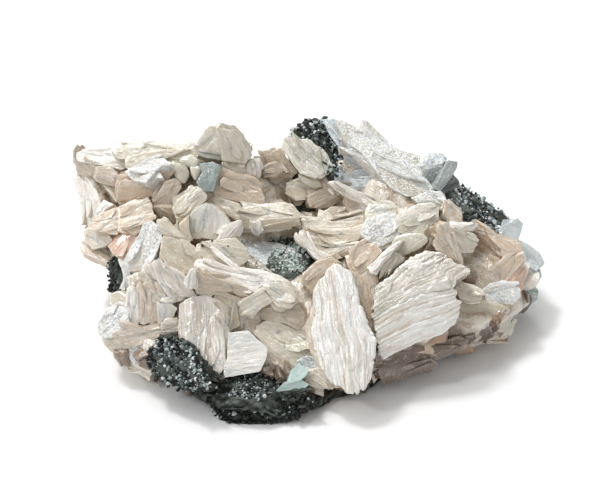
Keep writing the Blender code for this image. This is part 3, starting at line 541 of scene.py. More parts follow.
def strips(x: Array, y: Array, finish: Finish, seed: int) -> tuple[Array, Array]:
    """Strips of a face: each place belongs to the nearest of some random middles.

    Distances along the strips count for a third of those across them. A strip's rise is its
    own offset plus its own tilt times the way from its middle.

    Args:
        x: Places across the fibres.
        y: Places along the fibres.
        finish: How the face looks.
        seed: Number of the random field.

    Returns:
        The rise at each place, and the tone of its strip, from -1 to 1.
    """
    rng = np.random.default_rng(seed)
    count = int(np.clip(np.ptp(x) * np.ptp(y) / (3 * finish.strip**2), 3, 64))
    middles = np.stack([rng.uniform(x.min(), x.max(), count), rng.uniform(y.min(), y.max(), count)])
    warp = 0.3 * rough(plane_points(x / 1.6, y / 1.6, seed), seed + 1, 2)
    away = ((x + warp)[..., None] - middles[0]) ** 2 + ((y + warp)[..., None] - middles[1]) ** 2 / 9
    mine = away.argmin(axis=-1)
    offset, tone = rng.uniform(-1, 1, (2, count))
    tilt = rng.normal(0, finish.tilt, (2, count))
    rise = offset[mine] * finish.terrace
    rise += tilt[0, mine] * (x - middles[0, mine]) + 0.4 * tilt[1, mine] * (y - middles[1, mine])
    return rise, tone[mine]


def threads(x: Array, y: Array, width: float, length: float, seed: int) -> Array:
    """Ridges along y: random waves across x, finer and finer, each folded at its middle."""
    total = np.zeros(np.broadcast(x, y).shape)
    for i in range(3):
        wave = waves(plane_points(x * 1.9**i / width, y * 1.3**i / length, seed + i), seed + i)
        total += (1 - 2 * np.abs(wave)) / 1.6**i
    return total / 2


def ragged_outline(flat: Array, finish: Finish, seed: int) -> tuple[Array, Array, Array]:
    """A face's outline with rounded corners and ragged sides, most ragged at its ends.

    Args:
        flat: Corners of the outline, across and along the fibres, one a row.
        finish: How the face looks.
        seed: Number of the random fields.

    Returns:
        The outline's points, its half size, and the points as shares of that from its middle.
    """
    turned = flat[:, 0] * np.roll(flat[:, 1], -1) - flat[:, 1] * np.roll(flat[:, 0], -1)
    if turned.sum() < 0:
        flat = flat[::-1]
    loop = soften(close_outline(flat, OUTLINE_POINTS), finish.rounding)
    spoke = loop - loop.mean(axis=0)
    span = np.linalg.norm(spoke, axis=1, keepdims=True)
    teeth = rough(plane_points(loop[:, 0] / 0.8, loop[:, 1] / 0.8, seed), seed, 3)
    loop = loop + spoke / span * teeth[:, None] * finish.ragged * 0.6
    half = (loop.max(axis=0) - loop.min(axis=0)) / 2
    score = (loop - (loop.max(axis=0) + loop.min(axis=0)) / 2) / half
    ends = waves(plane_points(loop[:, 0] / 0.7, np.sign(score[:, 1]) * 9, seed), seed + 2)
    loop[:, 1] += score[:, 1] ** 5 * np.clip(ends * 3, -1, 0.3) * finish.ragged
    return loop, half, score


def side_rings(edge: Array, middle: Array, normal: Array, depth: float, finish: Finish,
               cell: float, seed: int) -> tuple[Array, Array, Array, Array]:
    """Sides of a plate: rings that go down from its rim and step in and out by layers.

    Args:
        edge: Points of the face's rim, one a row, in order.
        middle: Middle of the face.
        normal: Unit normal of the face.
        depth: How far the sides go down.
        finish: How the surface looks.
        cell: Size of the grid's cells.
        seed: Number of the random fields.

    Returns:
        Points, grain, colour with painted shade, and frost and painted sheen of the rings' corners, with
        the rings as the first axis.
    """
    forward = np.roll(edge, -1, axis=0) - np.roll(edge, 1, axis=0)
    out = np.cross(forward, normal)
    out /= np.linalg.norm(out, axis=1, keepdims=True) + 1e-9
    rows = int(np.clip(depth / max(1.8 * cell, 0.5), 3, 9))
    deep = (0.08 + (depth - 0.08) * np.linspace(0, 1, rows + 1) ** 1.3)[:, None]
    run = along_line(edge)[None]
    layers = lattice(np.stack(np.broadcast_arrays(
        np.floor(deep / 0.9 + 0.5 * waves(plane_points(run / 6, deep * 0, seed), seed + 21)),
        np.floor(run / 4), seed), -1), seed + 24)
    layers = finish.layer * layers + 0.5 * finish.layer * waves(
        plane_points(run / 0.7, deep / 2.5, seed), seed + 27)
    layers[0] = 0.02
    spoke3 = edge - middle
    raised = (spoke3 @ normal)[:, None] * normal
    shrink = 1 - 0.06 * (deep / depth)[..., None]
    side = (middle + raised * (1 - deep / depth)[..., None] + (spoke3 - raised) * shrink
            - deep[..., None] * normal + out * layers[..., None])
    light, shade = linear(finish.light), linear(finish.shade)
    # Painted shade on the sides: darker where the layers step in, and darker and warmer further down
    side_shade_blend = np.clip(0.5 + 0.35 * layers / max(finish.layer, 0.05), 0, 1)[..., None]
    depth_shade = 1 - (1 - SIDE_DEPTH_SHADE) * np.clip(deep / 3, 0, 1)[..., None]
    side_tint = (shade + (light - shade) * side_shade_blend) * depth_shade
    side_frost = np.broadcast_to(finish.frost * 0.6, layers.shape)
    side_frost_and_sheen = np.stack([side_frost, np.clip(finish.rim * np.exp(-deep / 0.3) + 0 * run, 0, 1),
                          0.5 + 0 * layers], -1)
    side_grain = np.stack(np.broadcast_arrays(run, deep, deep * 3.1), -1)
    return side, side_grain, side_tint, side_frost_and_sheen


def plate_shell(corners: Array, normal: Array, depth: float, finish: Finish,
                fibre: Array, seed: int, cell: Optional[float] = None) -> Shell:
    """Plate under a flat outline: a patch of u across and v along its fibres, with layered sides.

    The face is the patch between the outline's four sides, raised along the normal by a crown of
    16 u(1-u) v(1-v), by strips, by threads along v and by grit. The sides go down from its rim
    in rings that step in and out by layers.

    Args:
        corners: Corners of the face in space, one a row.
        normal: Unit normal of the face.
        depth: How far the crystal goes down behind its face.
        finish: How its surface looks.
        fibre: Direction of its fibres.
        seed: Number of its random fields.
        cell: Size of the grid's cells, or None for the finish's own.

    Returns:
        The closed surface.
    """
    cell = finish.cell if cell is None else cell
    middle = corners.mean(axis=0)
    along = fibre - normal * (fibre @ normal)
    along /= np.linalg.norm(along)
    across = np.cross(along, normal)
    flat = (corners - middle) @ np.stack([across, along], -1)
    loop, half, score = ragged_outline(flat, finish, seed)
    picks = [int(np.argmax(score @ np.array(way))) for way in ((-1, -1), (1, -1), (1, 1), (-1, 1))]
    wide, long = (int(np.clip(2 * half[i] / cell, FEWEST_CELLS, MOST_CELLS[i])) + 1
                  for i in range(2))
    root = stretch_between(loop, picks[0], picks[1], wide)
    right = stretch_between(loop, picks[1], picks[2], long)
    tip = stretch_between(loop, picks[2], picks[3], wide)[::-1]
    left = stretch_between(loop, picks[3], picks[0], long)[::-1]
    patch = spread_patch(root, tip, left, right)
    u = np.linspace(0, 1, wide)[None, :]
    v = np.linspace(0, 1, long)[:, None]
    x, y = (u - 0.5) * 2 * half[0], v * 2 * half[1]
    inner = 16 * u * (1 - u) * v * (1 - v)
    far = np.minimum(np.minimum(u, 1 - u) * 2 * half[0], np.minimum(v, 1 - v) * 2 * half[1])
    ridges = threads(x + 0.3 * waves(plane_points(x / 5, y / 7, seed), seed + 3), y,
                     finish.streak_width, finish.streak_length, seed + 5)
    slow = rough(plane_points(x / 4.5, y / 6, seed), seed + 9, 2)
    grit = rough(plane_points(x / 0.55, y / 0.55, seed), seed + 15, 2)
    steps, tone = strips(patch[..., 0], patch[..., 1], finish, seed + 12)
    rise = finish.bulge * (inner**0.5 - 0.5) + finish.streak * ridges + steps
    rise = rise + finish.grit * grit
    # Painted highlight along the face's rim, as if light shone through its thin edge
    rim_highlight = np.exp(-far / RIM_HIGHLIGHT_REACH)
    place = middle + patch[..., :1] * across + patch[..., 1:] * along + rise[..., None] * normal
    # The face's paint: random tone, with painted highlight on the threads' ridges and on the rim, and
    # painted shade in the threads' hollows
    blend = 0.6 + 0.25 * slow + finish.streak_paint * 1.5 * ridges + 0.1 * grit + 0.1 * tone
    blend = np.clip(blend + 0.2 * rim_highlight, 0, 1)[..., None]
    light, shade = linear(finish.light), linear(finish.shade)
    tint = shade + (light - shade) * blend
    frost = np.clip(finish.frost * (0.8 + 0.7 * slow + 0.3 * grit + 0.3 * tone), 0, 1)
    # Frost, the rim's painted highlight, and the thread ridges, which the material paints with white
    # streaks as highlight
    frost_and_sheen = np.stack([frost, np.clip(finish.rim * rim_highlight, 0, 1), 0.5 + 0.5 * ridges], -1)
    grain = np.stack(np.broadcast_arrays(x, y, np.zeros_like(x)), -1)
    order = np.arange(wide * long).reshape(long, wide)
    rim = np.concatenate([order[0], order[1:, -1], order[-1, -2::-1], order[-2:0:-1, 0]])
    edge = place.reshape(-1, 3)[rim]
    side, side_grain, side_tint, side_frost_and_sheen = side_rings(edge, middle, normal, depth, finish,
                                                        cell, seed)
    pole = middle - normal * depth * 1.02
    total = wide * long
    quads = np.stack([order[:-1, :-1], order[:-1, 1:], order[1:, 1:], order[1:, :-1]], -1)
    count, last = len(rim), total + len(rim) * len(side)
    first = np.stack([rim, total + np.arange(count), total + (np.arange(count) + 1) % count,
                      np.roll(rim, -1)], -1)
    walls, poles = ring_faces(total, count, len(side), last)
    return Shell(
        np.vstack([place.reshape(-1, 3), side.reshape(-1, 3), pole]),
        np.vstack([quads.reshape(-1, 4), first, walls]),
        poles,
        np.vstack([grain.reshape(-1, 3), side_grain.reshape(-1, 3), grain[0, 0]]),
        np.vstack([tint.reshape(-1, 3), side_tint.reshape(-1, 3), shade]),
        np.vstack([frost_and_sheen.reshape(-1, 3), side_frost_and_sheen.reshape(-1, 3), frost_and_sheen[0, 0]]),
        finish.paint,
    )


def blade_shell(foot: Array, tip: Array, width: float, thickness: float, finish: Finish,
                seed: int, cell: float) -> Shell:
    """Flat blade from its foot to a roof-shaped tip, facing up and away from its length."""
    along = tip - foot
    length = np.linalg.norm(along)
    along = along / length
    across = np.cross(along, (0, 0, 1))
    across /= np.linalg.norm(across)
    normal = np.cross(across, along)
    outline = ((-0.4, 0), (0.4, 0), (0.5, 0.8), (0.2, 1.0), (-0.2, 1.0), (-0.5, 0.8))
    corners = np.array([foot + across * x * width + along * y * length for x, y in outline])
    corners += normal * thickness / 2
    return plate_shell(corners, normal, thickness, finish, along, seed, cell)


def make_object(name: str, shells: list[Shell], paints: Paints,
                smooth_angle: float = 50.0) -> Thing:
    """Joins closed surfaces into one mesh object, with their corners' grain, colour, and frost and
    painted sheen as attributes.

    Args:
        name: Name of the new object.
        shells: The surfaces.
        paints: The materials by name.
        smooth_angle: Edges flatter than this many degrees are shaded round.

    Returns:
        The object, linked to the scene.
    """
    starts = np.cumsum([0] + [len(shell.corners) for shell in shells])
    used = sorted({shell.paint for shell in shells})
    corners = np.clip(np.vstack([shell.corners for shell in shells]), *BOX) * MM
    quads = np.vstack([shell.quads + start for shell, start in zip(shells, starts)])
    tris = np.vstack([shell.triangles + start for shell, start in zip(shells, starts)])
    mesh = bpy.data.meshes.new(name)
    mesh.vertices.add(len(corners))
    mesh.vertices.foreach_set("co", corners.astype(np.float32).ravel())
    loops = np.concatenate([quads.ravel(), tris.ravel()]).astype(np.int32)
    begins = np.concatenate([np.arange(len(quads)) * 4, len(quads) * 4 + np.arange(len(tris)) * 3])
    mesh.loops.add(len(loops))
    mesh.loops.foreach_set("vertex_index", loops)
    mesh.polygons.add(len(begins))
    mesh.polygons.foreach_set("loop_start", begins.astype(np.int32))
    paint_of = np.concatenate(
        [np.full(len(shell.quads), used.index(shell.paint)) for shell in shells]
        + [np.full(len(shell.triangles), used.index(shell.paint)) for shell in shells])
    mesh.polygons.foreach_set("material_index", paint_of.astype(np.int32))
    for title, values in (("grain", [shell.grain for shell in shells]),
                          ("frost_and_sheen", [shell.frost_and_sheen for shell in shells])):
        layer = mesh.attributes.new(title, "FLOAT_VECTOR", "POINT")
        layer.data.foreach_set("vector", np.vstack(values).astype(np.float32).ravel())
    layer = mesh.attributes.new("tint", "FLOAT_COLOR", "POINT")
    colours = np.hstack([np.vstack([shell.tint for shell in shells]), np.ones((len(corners), 1))])
    layer.data.foreach_set("color", colours.astype(np.float32).ravel())
    mesh.update(calc_edges=True)
    mesh.validate()
    mesh.shade_smooth()
    mesh.set_sharp_from_angle(angle=math.radians(smooth_angle))
    for title in used:
        mesh.materials.append(paints[title])
    thing = bpy.data.objects.new(name, mesh)
    bpy.context.scene.collection.objects.link(thing)
    return thing


def settle(thing: Thing, slot: str, *nodes: str) -> Thing:
    """Lets a piece ride on the specimen's body and stand for its nodes."""
    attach(thing, BODY)
    if nodes:
        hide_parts(*nodes)
    LOG.info("%s: %d faces", thing.name, len(thing.data.polygons))
    return thing


# Mounds: the rock and the mass that the stilbite grows from


@dataclass(frozen=True)
class Mound:
    """A mass whose side leans out and whose top follows chosen heights.

    Its reach from the middle is given at equal angles from +X towards +Y, and its heights as
    (x, y, height) at chosen places. The profile says how its side goes from the foot over the
    rim to the top, as shares of the reach and of the height.
    """

    reaches: tuple[float, ...]
    heights: tuple[Triple, ...]
    floor: float
    profile: tuple[tuple[float, float], ...] = ((0.86, 0.0), (0.95, 0.35), (1.0, 0.65),
                                                (0.95, 1.0), (0.12, 1.0))

    def reach(self, angle: Array) -> Array:
        """Distance from the middle to the mass's rim at angles in radians."""
        table = np.array(self.reaches, float)
        place = np.degrees(angle) / (360 / len(table)) % len(table)
        first = place.astype(int)
        part = (1 - np.cos((place - first) * math.pi)) / 2
        return table[first % len(table)] * (1 - part) + table[(first + 1) % len(table)] * part

    def top(self, x: Array, y: Array) -> Array:
        """Height of the mass's top: the chosen heights, weighted by nearness."""
        places = np.array(self.heights, float)
        near = (x[..., None] - places[:, 0]) ** 2 + (y[..., None] - places[:, 1]) ** 2 + 4
        weights = near**-2.0
        return (weights * places[:, 2]).sum(-1) / weights.sum(-1)

    def surface(self, steps: int, rings: int) -> tuple[Array, Array]:
        """The mass as a function of the angle and of the way from its foot to its middle.

        Args:
            steps: How many angles.
            rings: How many rings, from the foot over the rim to the middle.

        Returns:
            Points and unit normals, with the rings as the first axis.
        """
        profile = np.array(self.profile)
        run = along_line(profile)
        way = np.linspace(0, 1, rings) ** 0.9 * run[-1]
        part = np.interp(way, run, profile[:, 0])[:, None]
        rise = np.interp(way, run, profile[:, 1])[:, None]
        angle = np.arange(steps)[None] * 2 * math.pi / steps
        radius = self.reach(angle) * part
        x, y = radius * np.cos(angle), radius * np.sin(angle)
        points = np.stack([x, y, self.floor + rise * (self.top(x, y) - self.floor)], -1)
        round_way = np.roll(points, -1, axis=1) - np.roll(points, 1, axis=1)
        up_way = np.gradient(points, axis=0)
        normals = np.cross(round_way, up_way)
        normals /= np.linalg.norm(normals, axis=-1, keepdims=True) + 1e-12
        return points, normals

    def holds(self, x: Array, y: Array) -> Array:
        """Whether places lie within the mass's rim."""
        return np.hypot(x, y) < 0.95 * self.reach(np.arctan2(y, x) % (2 * math.pi))


ROCK_MOUND = Mound(
    (46, 49, 44, 32, 32, 34, 35, 31, 27, 33, 38, 42,
     49, 43, 42, 41, 40, 37, 33, 29, 30, 28, 29, 36),
    ((-31, -23, 11), (-37, -26, 6), (-24, -30, 5), (-14, -33, 7), (-4, -34, 3), (6, -28, 2),
     (22, -21, 3), (33, -14, 4), (42, -3, 6), (-49, 1, 13), (-40, -12, 6), (-44, 14, 10),
     (-30, 15, 10), (-30, 0, 9), (-20, 25, 12), (-7, 6, 18), (-7, 11, 16), (-2, 5, 17),
     (-14, 7, 14), (0, -18, 8), (-20, -12, 9), (12, 0, 10), (20, 8, 10), (30, -6, 7),
     (12, 16, 12), (0, 22, 14), (-2, 34, 29), (4, 29, 28), (8, 32, 29), (22, 22, 18),
     (36, 20, 25), (42, 17, 23), (49, 13, 18), (45, 8, 12)),
    0.0,
)
CRUST_MOUND = Mound(
    (55, 53, 41, 36, 34, 30, 22, 28, 30, 37, 50, 52,
     46, 50, 45, 34, 26, 27, 27, 27, 28, 31, 38, 47),
    ((-45, 21, 22), (-54, 23, 21), (-34, 22, 26), (-24, 26, 30), (-14, 25, 26), (-11, 20, 21),
     (0, 23, 17), (6, 18, 17), (12, 14, 19), (-8, 6, 13), (-2, 5, 14), (20, 22, 28),
     (30, 20, 25), (10, 29, 30), (25, 25, 26), (38, 12, 21), (45, 3, 18), (54, 1, 11),
     (48, -5, 12), (40, -8, 12), (30, -8, 17), (20, -14, 13), (14, -19, 10), (10, -24, 5),
     (0, -22, 7), (-10, -21, 9), (-20, -19, 10), (-26, -26, 5), (-34, -17, 12), (-45, -12, 11),
     (-46, -2, 13), (-45, 8, 17), (-35, 6, 21), (-25, 6, 21), (-15, -1, 20), (2, -2, 17),
     (14, 2, 20), (25, 3, 22), (0, -12, 14), (-14, -10, 16), (-28, -8, 18), (51, 14, 17)),
    1.6,
)


def mound_shell(mound: Mound, steps: int, rings: int, relief: Array, tint: Array, frost: Array,
                paint: str) -> Shell:
    """A mound with relief along its normals, closed below and at its middle.

    Args:
        mound: The mass.
        steps: How many angles its surface has.
        rings: How many rings its surface has.
        relief: Height of the relief at each point, rings first.
        tint: Colour at each point.
        frost: Share of white cover at each point.
        paint: Name of its material.

    Returns:
        The closed surface.
    """
    points, normals = mound.surface(steps, rings)
    points = points + normals * relief[..., None]
    points[..., 2] = np.maximum(points[..., 2], mound.floor)
    points[0, :, 2] = mound.floor
    last = rings * steps
    spot = np.arange(steps)
    after = (spot + 1) % steps
    base = np.arange(rings - 1)[:, None] * steps
    quads = np.stack([base + spot, base + after, base + steps + after, base + steps + spot], -1)
    under = np.stack([after, spot, np.full(steps, last)], -1)
    peak = (rings - 1) * steps
    over = np.stack([peak + spot, peak + after, np.full(steps, last + 1)], -1)
    middle = np.array([[0, 0, mound.floor], [*points[-1].mean(axis=0)]])
    flat = points.reshape(-1, 3)
    frost_and_sheen = np.stack([frost, 0 * frost, 0.5 + 0 * frost], -1).reshape(-1, 3)
    return Shell(
        np.vstack([flat, middle]),
        quads.reshape(-1, 4),
        np.vstack([under, over]),
        np.vstack([flat, middle]),
        np.vstack([tint.reshape(-1, 3), tint[0, 0], tint[-1].mean(axis=0)]),
        np.vstack([frost_and_sheen, frost_and_sheen[0], frost_and_sheen[-1]]),
        paint,
    )


# Small crystals and grains


def turn_frames(axis: Array, rng: np.random.Generator) -> Array:
    """Frames of three directions whose third is a given axis, turned at random about it.

    Args:
        axis: Unit directions, one a row.
        rng: Source of the random turns.

    Returns:
        One frame for each axis, with its directions as rows.
    """
    helper = np.where(np.abs(axis[:, 2:]) < 0.9, [[0, 0, 1.0]], [[1.0, 0, 0]])
    side = np.cross(axis, helper)
    side /= np.linalg.norm(side, axis=1, keepdims=True)
    other = np.cross(axis, side)
    turn = rng.uniform(0, 2 * math.pi, len(axis))[:, None]
    first = side * np.cos(turn) + other * np.sin(turn)
    return np.stack([first, np.cross(axis, first), axis], axis=1)


@dataclass(frozen=True)
class Seedling:
    """A small shape of a few faces that is strewn over a surface."""

    corners: tuple[Triple, ...]
    faces: tuple[tuple[int, int, int], ...]

    def strew(self, places: Array, frames: Array, sizes: Array, colours: Array, frost: float,
              paint: str) -> Shell:
        """Puts a copy of the shape at each place.

        Args:
            places: Where the copies stand, one a row.
            frames: Their directions, three to a copy.
            sizes: Their widths, depths and heights, one row a copy.
            colours: Their colours, one a row.
            frost: Share of white cover.
            paint: Name of their material.

        Returns:
            All the copies as one surface.
        """
        shape = np.array(self.corners, float)
        count, each = len(places), len(shape)
        local = shape[None] * sizes[:, None]
        corners = places[:, None] + np.einsum("nki,nij->nkj", local, frames)
        faces = np.array(self.faces)[None] + np.arange(count)[:, None, None] * each
        tint = np.repeat(colours, each, axis=0) * (0.9 + 0.2 * (shape[:, 2] > 0.3))[
            np.tile(np.arange(each), count)][:, None]
        frost_and_sheen = np.tile([frost, 0.0, 0.5], (count * each, 1))
        grain = (local + places[:, None] * 3).reshape(-1, 3)
        return Shell(corners.reshape(-1, 3), np.zeros((0, 4), int), faces.reshape(-1, 3), grain,
                     np.clip(tint, 0, 1), frost_and_sheen, paint)


def nugget() -> Seedling:
    """Round grain of twenty faces."""
    long = (1 + math.sqrt(5)) / 2
    corners = [np.roll((0, a, b * long), k) for k in range(3) for a in (-1, 1) for b in (-1, 1)]
    corners = np.array(corners) / math.hypot(1, long) * 0.5
    faces = []
    for trio in itertools.combinations(range(12), 3):
        a, b, c = corners[list(trio)]
        if max(np.linalg.norm(a - b), np.linalg.norm(b - c), np.linalg.norm(c - a)) < 0.6:
            out = np.dot(np.cross(b - a, c - a), a + b + c) > 0
            faces.append(trio if out else (trio[0], trio[2], trio[1]))
    return Seedling(tuple(map(tuple, corners)), tuple(faces))


def inside(zone: Array, places: Array) -> Array:
    """Whether places lie within a closed outline: a line to the right crosses it an odd time."""
    x, y = places[:, :1], places[:, 1:]
    after = np.roll(zone, -1, axis=0)
    spans = (zone[:, 1] > y) != (after[:, 1] > y)
    rise = np.where(after[:, 1] == zone[:, 1], 1, after[:, 1] - zone[:, 1])
    meets = zone[:, 0] + (y - zone[:, 1]) * (after[:, 0] - zone[:, 0]) / rise
    return ((spans & (x < meets)).sum(axis=1) % 2).astype(bool)


def ground_height(x: Array, y: Array) -> Array:
    """Height of the rock or of the stilbite's mass, whichever is higher."""
    rock = np.where(ROCK_MOUND.holds(x, y), ROCK_MOUND.top(x, y), 0)
    crust = np.where(CRUST_MOUND.holds(x, y), CRUST_MOUND.top(x, y), 0)
    return np.maximum(rock, crust)


def seen_ground(seen: Array) -> Array:
    """Where the viewer's look first meets the ground mass.

    The look is followed down through heights, and the first that is under the mass counts.

    Args:
        seen: Places across and down the picture, one a row.

    Returns:
        One point a row.
    """
    found = np.full((len(seen), 3), np.nan)
    for height in LOOK_HEIGHTS:
        points = SIGHT.at_height(seen, height)
        hit = np.isnan(found[:, 0]) & (ground_height(points[:, 0], points[:, 1]) >= height)
        found[hit] = points[hit]
    return found[~np.isnan(found[:, 0])]


# Sub-assemblies


class Piece:
    """One mesh of the dressed specimen, on its body and in the place of one of its nodes."""

    name: str
    slot: str = "stilbite"
    node: str = STILBITE
    smooth_angle: float = 50.0

    def shells(self) -> list[Shell]:
        """The piece's closed surfaces."""
        raise NotImplementedError

    def build(self, paints: Paints) -> Thing:
        """Makes the piece and settles it on the specimen.

        Args:
            paints: The materials by name.

        Returns:
            The piece.
        """
        made = make_object(self.name, self.shells(), paints, self.smooth_angle)
        return settle(made, self.slot, self.node)


@dataclass
class CrystalGroup(Piece):
    """Crystals that stand together."""

    name: str
    seed: int
    crystals: tuple[Crystal, ...]
    slot: str = "stilbite"
    node: str = STILBITE

    def shells(self) -> list[Shell]:
        """The crystals as closed surfaces."""
        return [shell for i, crystal in enumerate(self.crystals)
                for shell in crystal.shells(self.seed + 100 * i)]


@dataclass
class LeftRim(CrystalGroup):
    """The left rim: its pearly edge, the hood over it and the knobs below."""

    name: str = "left_rim"
    seed: int = 1100
    crystals: tuple[Crystal, ...] = (
        Crystal("rim_top", Look.PEARL, 30.5, (0, -0.3, 0.95), spots(
            73, 153, 84, 149, 110, 150, 138, 158, 122, 169, 95, 163, 78, 161), 6, 5),
        # The block's front, turned from the light: a darker look as painted shade
        Crystal("rim_front", Look.TAN_SHADE, 27, (-0.15, -0.95, 0.2), spots(
            73, 155, 79, 162, 96, 164, 118, 170, 117, 197, 96, 186, 77, 172), 7),
        Crystal("rim_inset", Look.BLUSH, 28.5, (-0.2, -0.8, 0.55), spots(
            98, 166, 111, 167, 121, 177, 113, 186, 98, 182, 93, 177)),
        Crystal("side_face", Look.PEARL, 22, (-0.7, -0.55, 0.45), spots(
            75, 172, 80, 177, 96, 190, 101, 207, 97, 220, 88, 227, 82, 213, 77, 190), 7, 100),
        # A darker look as painted shade in the recess beside the side face
        Crystal("side_back", Look.TAN_SHADE, 21, (-0.3, -0.9, 0.3), spots(
            88, 180, 115, 196, 112, 206, 101, 212, 94, 200)),
        Crystal("white_tip", Look.WHITE, 24.5, (-0.4, -0.4, 0.8), spots(
            104, 199, 113, 204, 106, 209, 99, 218, 95, 215, 99, 205), 4),
        Crystal("hood_top", Look.FROST, 33, (-0.3, -0.3, 0.9), spots(
            124, 171, 138, 165, 148, 157, 163, 157, 172, 163, 160, 166, 152, 175, 146, 182, 134, 180)),
        Crystal("hood_side", Look.PEACH, 29, (0.05, -0.9, 0.45), spots(
            120, 180, 146, 181, 160, 166, 172, 163, 174, 172, 165, 184, 154, 196, 138, 199, 119, 205,
            116, 195), 7),
        Crystal("crest", Look.MIST, 33, (0, -0.35, 0.93), spots(
            110, 148, 122, 145, 132, 141, 146, 141, 158, 139, 172, 142, 196, 141, 198, 150, 170, 155,
            140, 159, 118, 158)),
        Crystal("crest_low", Look.CREAM, 32.3, (0, -0.5, 0.86), spots(
            124, 158, 150, 149, 196, 147, 199, 156, 185, 160, 160, 156, 140, 164, 126, 168)),
        Crystal("wax_left", Look.STRAW, 31, (0, -0.75, 0.65), spots(
            170, 160, 184, 164, 190, 172, 187, 181, 183, 184, 175, 178, 171, 168)),
        Crystal("wax_right", Look.STRAW, 31, (0.1, -0.8, 0.6), spots(
            190, 166, 199, 165, 202, 170, 200, 177, 195, 180, 191, 174)),
        Crystal("wax_top", Look.STRAW, 33, (0, -0.5, 0.85), spots(
            180, 156, 192, 153, 199, 159, 198, 166, 186, 165, 179, 161)),
        Crystal("pillar", Look.BLUSH, 28, (0.1, -0.85, 0.5), spots(
            165, 181, 175, 178, 181, 183, 178, 192, 172, 203, 162, 213, 152, 206, 155, 197, 161, 188), 6),
        Crystal("barrel", Look.CREAM, 27, (0.1, -0.6, 0.8), spots(
            196, 185, 205, 190, 208, 197, 200, 208, 189, 221, 176, 219, 172, 208, 177, 200, 188, 191), 6),
        # A darker look as painted shade under the barrel
        Crystal("barrel_under", Look.TAN_SHADE, 24, (0.1, -0.95, 0.3), spots(
            152, 206, 172, 207, 178, 219, 190, 221, 178, 228, 160, 218), 4),
        Crystal("peach_round", Look.PEACH, 27, (-0.1, -0.5, 0.85), spots(
            118, 206, 134, 199, 148, 199, 153, 204, 152, 210, 157, 217, 145, 223, 126, 229, 117, 222)),
        Crystal("peach_low", Look.PEACH, 23.5, (-0.3, -0.5, 0.8), spots(
            88, 224, 97, 220, 101, 212, 118, 206, 121, 212, 118, 227, 106, 231, 94, 231)),
        Crystal("left_bulge", Look.CREAM, 18, (-0.5, -0.6, 0.6), spots(
            84, 229, 90, 223, 106, 229, 113, 240, 104, 246, 92, 249, 84, 240), 6),
        Crystal("brown_knob", Look.AMBER, 13.5, (-0.5, -0.75, 0.4), spots(
            92, 249, 103, 243, 109, 250, 112, 255, 107, 263, 97, 262, 91, 256), 6),
        Crystal("rose_streak", Look.ROSE, 20.5, (-0.35, -0.55, 0.75), spots(
            113, 240, 127, 227, 136, 226, 143, 232, 131, 246, 124, 261, 117, 257, 107, 247)),
        Crystal("frost_left", Look.FROST, 24, (-0.05, -0.65, 0.75), spots(
            143, 222, 152, 219, 158, 226, 162, 236, 158, 250, 154, 262, 140, 271, 126, 270, 124, 260,
            131, 246, 140, 232), 6),
    )


@dataclass
class Pyramid(CrystalGroup):
    """The beige pyramid behind, and the peach plates in front of it."""

    name: str = "pyramid"
    seed: int = 1200
    crystals: tuple[Crystal, ...] = (
        Crystal("pyramid_left", Look.MIST, 36, (-0.25, -0.8, 0.55), spots(
            208, 125, 217, 126, 222, 140, 222, 155, 196, 150, 197, 141), 7),
        Crystal("pyramid_right", Look.MIST, 36, (0.25, -0.75, 0.6), spots(
            216, 126, 229, 129, 237, 129, 250, 143, 252, 155, 245, 163, 222, 160, 220, 142), 7),
        Crystal("rod", Look.WHITE, 33, (0, -0.6, 0.8), spots(
            190, 146, 200, 143, 215, 142, 230, 146, 246, 151, 250, 156, 225, 159, 205, 157, 192, 153),
            streak=0),
        Crystal("grey_shard", Look.MIST, 30.5, (0.1, -0.7, 0.7), spots(
            223, 160, 235, 156, 245, 160, 246, 172, 240, 176, 232, 171, 225, 166)),
        Crystal("tooth", Look.WHITE, 29.5, (0.1, -0.8, 0.6), spots(
            246, 164, 252, 158, 260, 160, 262, 172, 260, 178, 250, 177, 245, 172), 6),
        Crystal("peach_plate", Look.PEACH, 28, (0.05, -0.75, 0.65), spots(
            222, 166, 240, 174, 260, 180, 262, 188, 266, 203, 252, 205, 238, 201, 214, 197, 213, 190,
            217, 175)),
        Crystal("beige_fold", Look.BEIGE, 25, (-0.1, -0.6, 0.8), spots(
            206, 199, 215, 196, 238, 202, 246, 213, 240, 223, 226, 213, 214, 204)),
        Crystal("long_plate", Look.CREAM, 24.5, (0, -0.45, 0.9), spots(
            232, 208, 250, 205, 264, 203, 286, 201, 300, 215, 290, 217, 270, 219, 255, 219, 243, 214)),
        # The long plate's front side: a darker look than its top, as painted shade
        Crystal("long_plate_side", Look.BEIGE, 22.5, (0, -0.85, 0.5), spots(
            240, 213, 256, 219, 300, 216, 298, 226, 280, 229, 262, 229, 252, 232, 243, 232, 238, 223), 6),
        Crystal("knob", Look.WHITE, 23, (0, -0.8, 0.6), spots(
            251, 221, 260, 219, 264, 230, 258, 236, 251, 232)),
    )


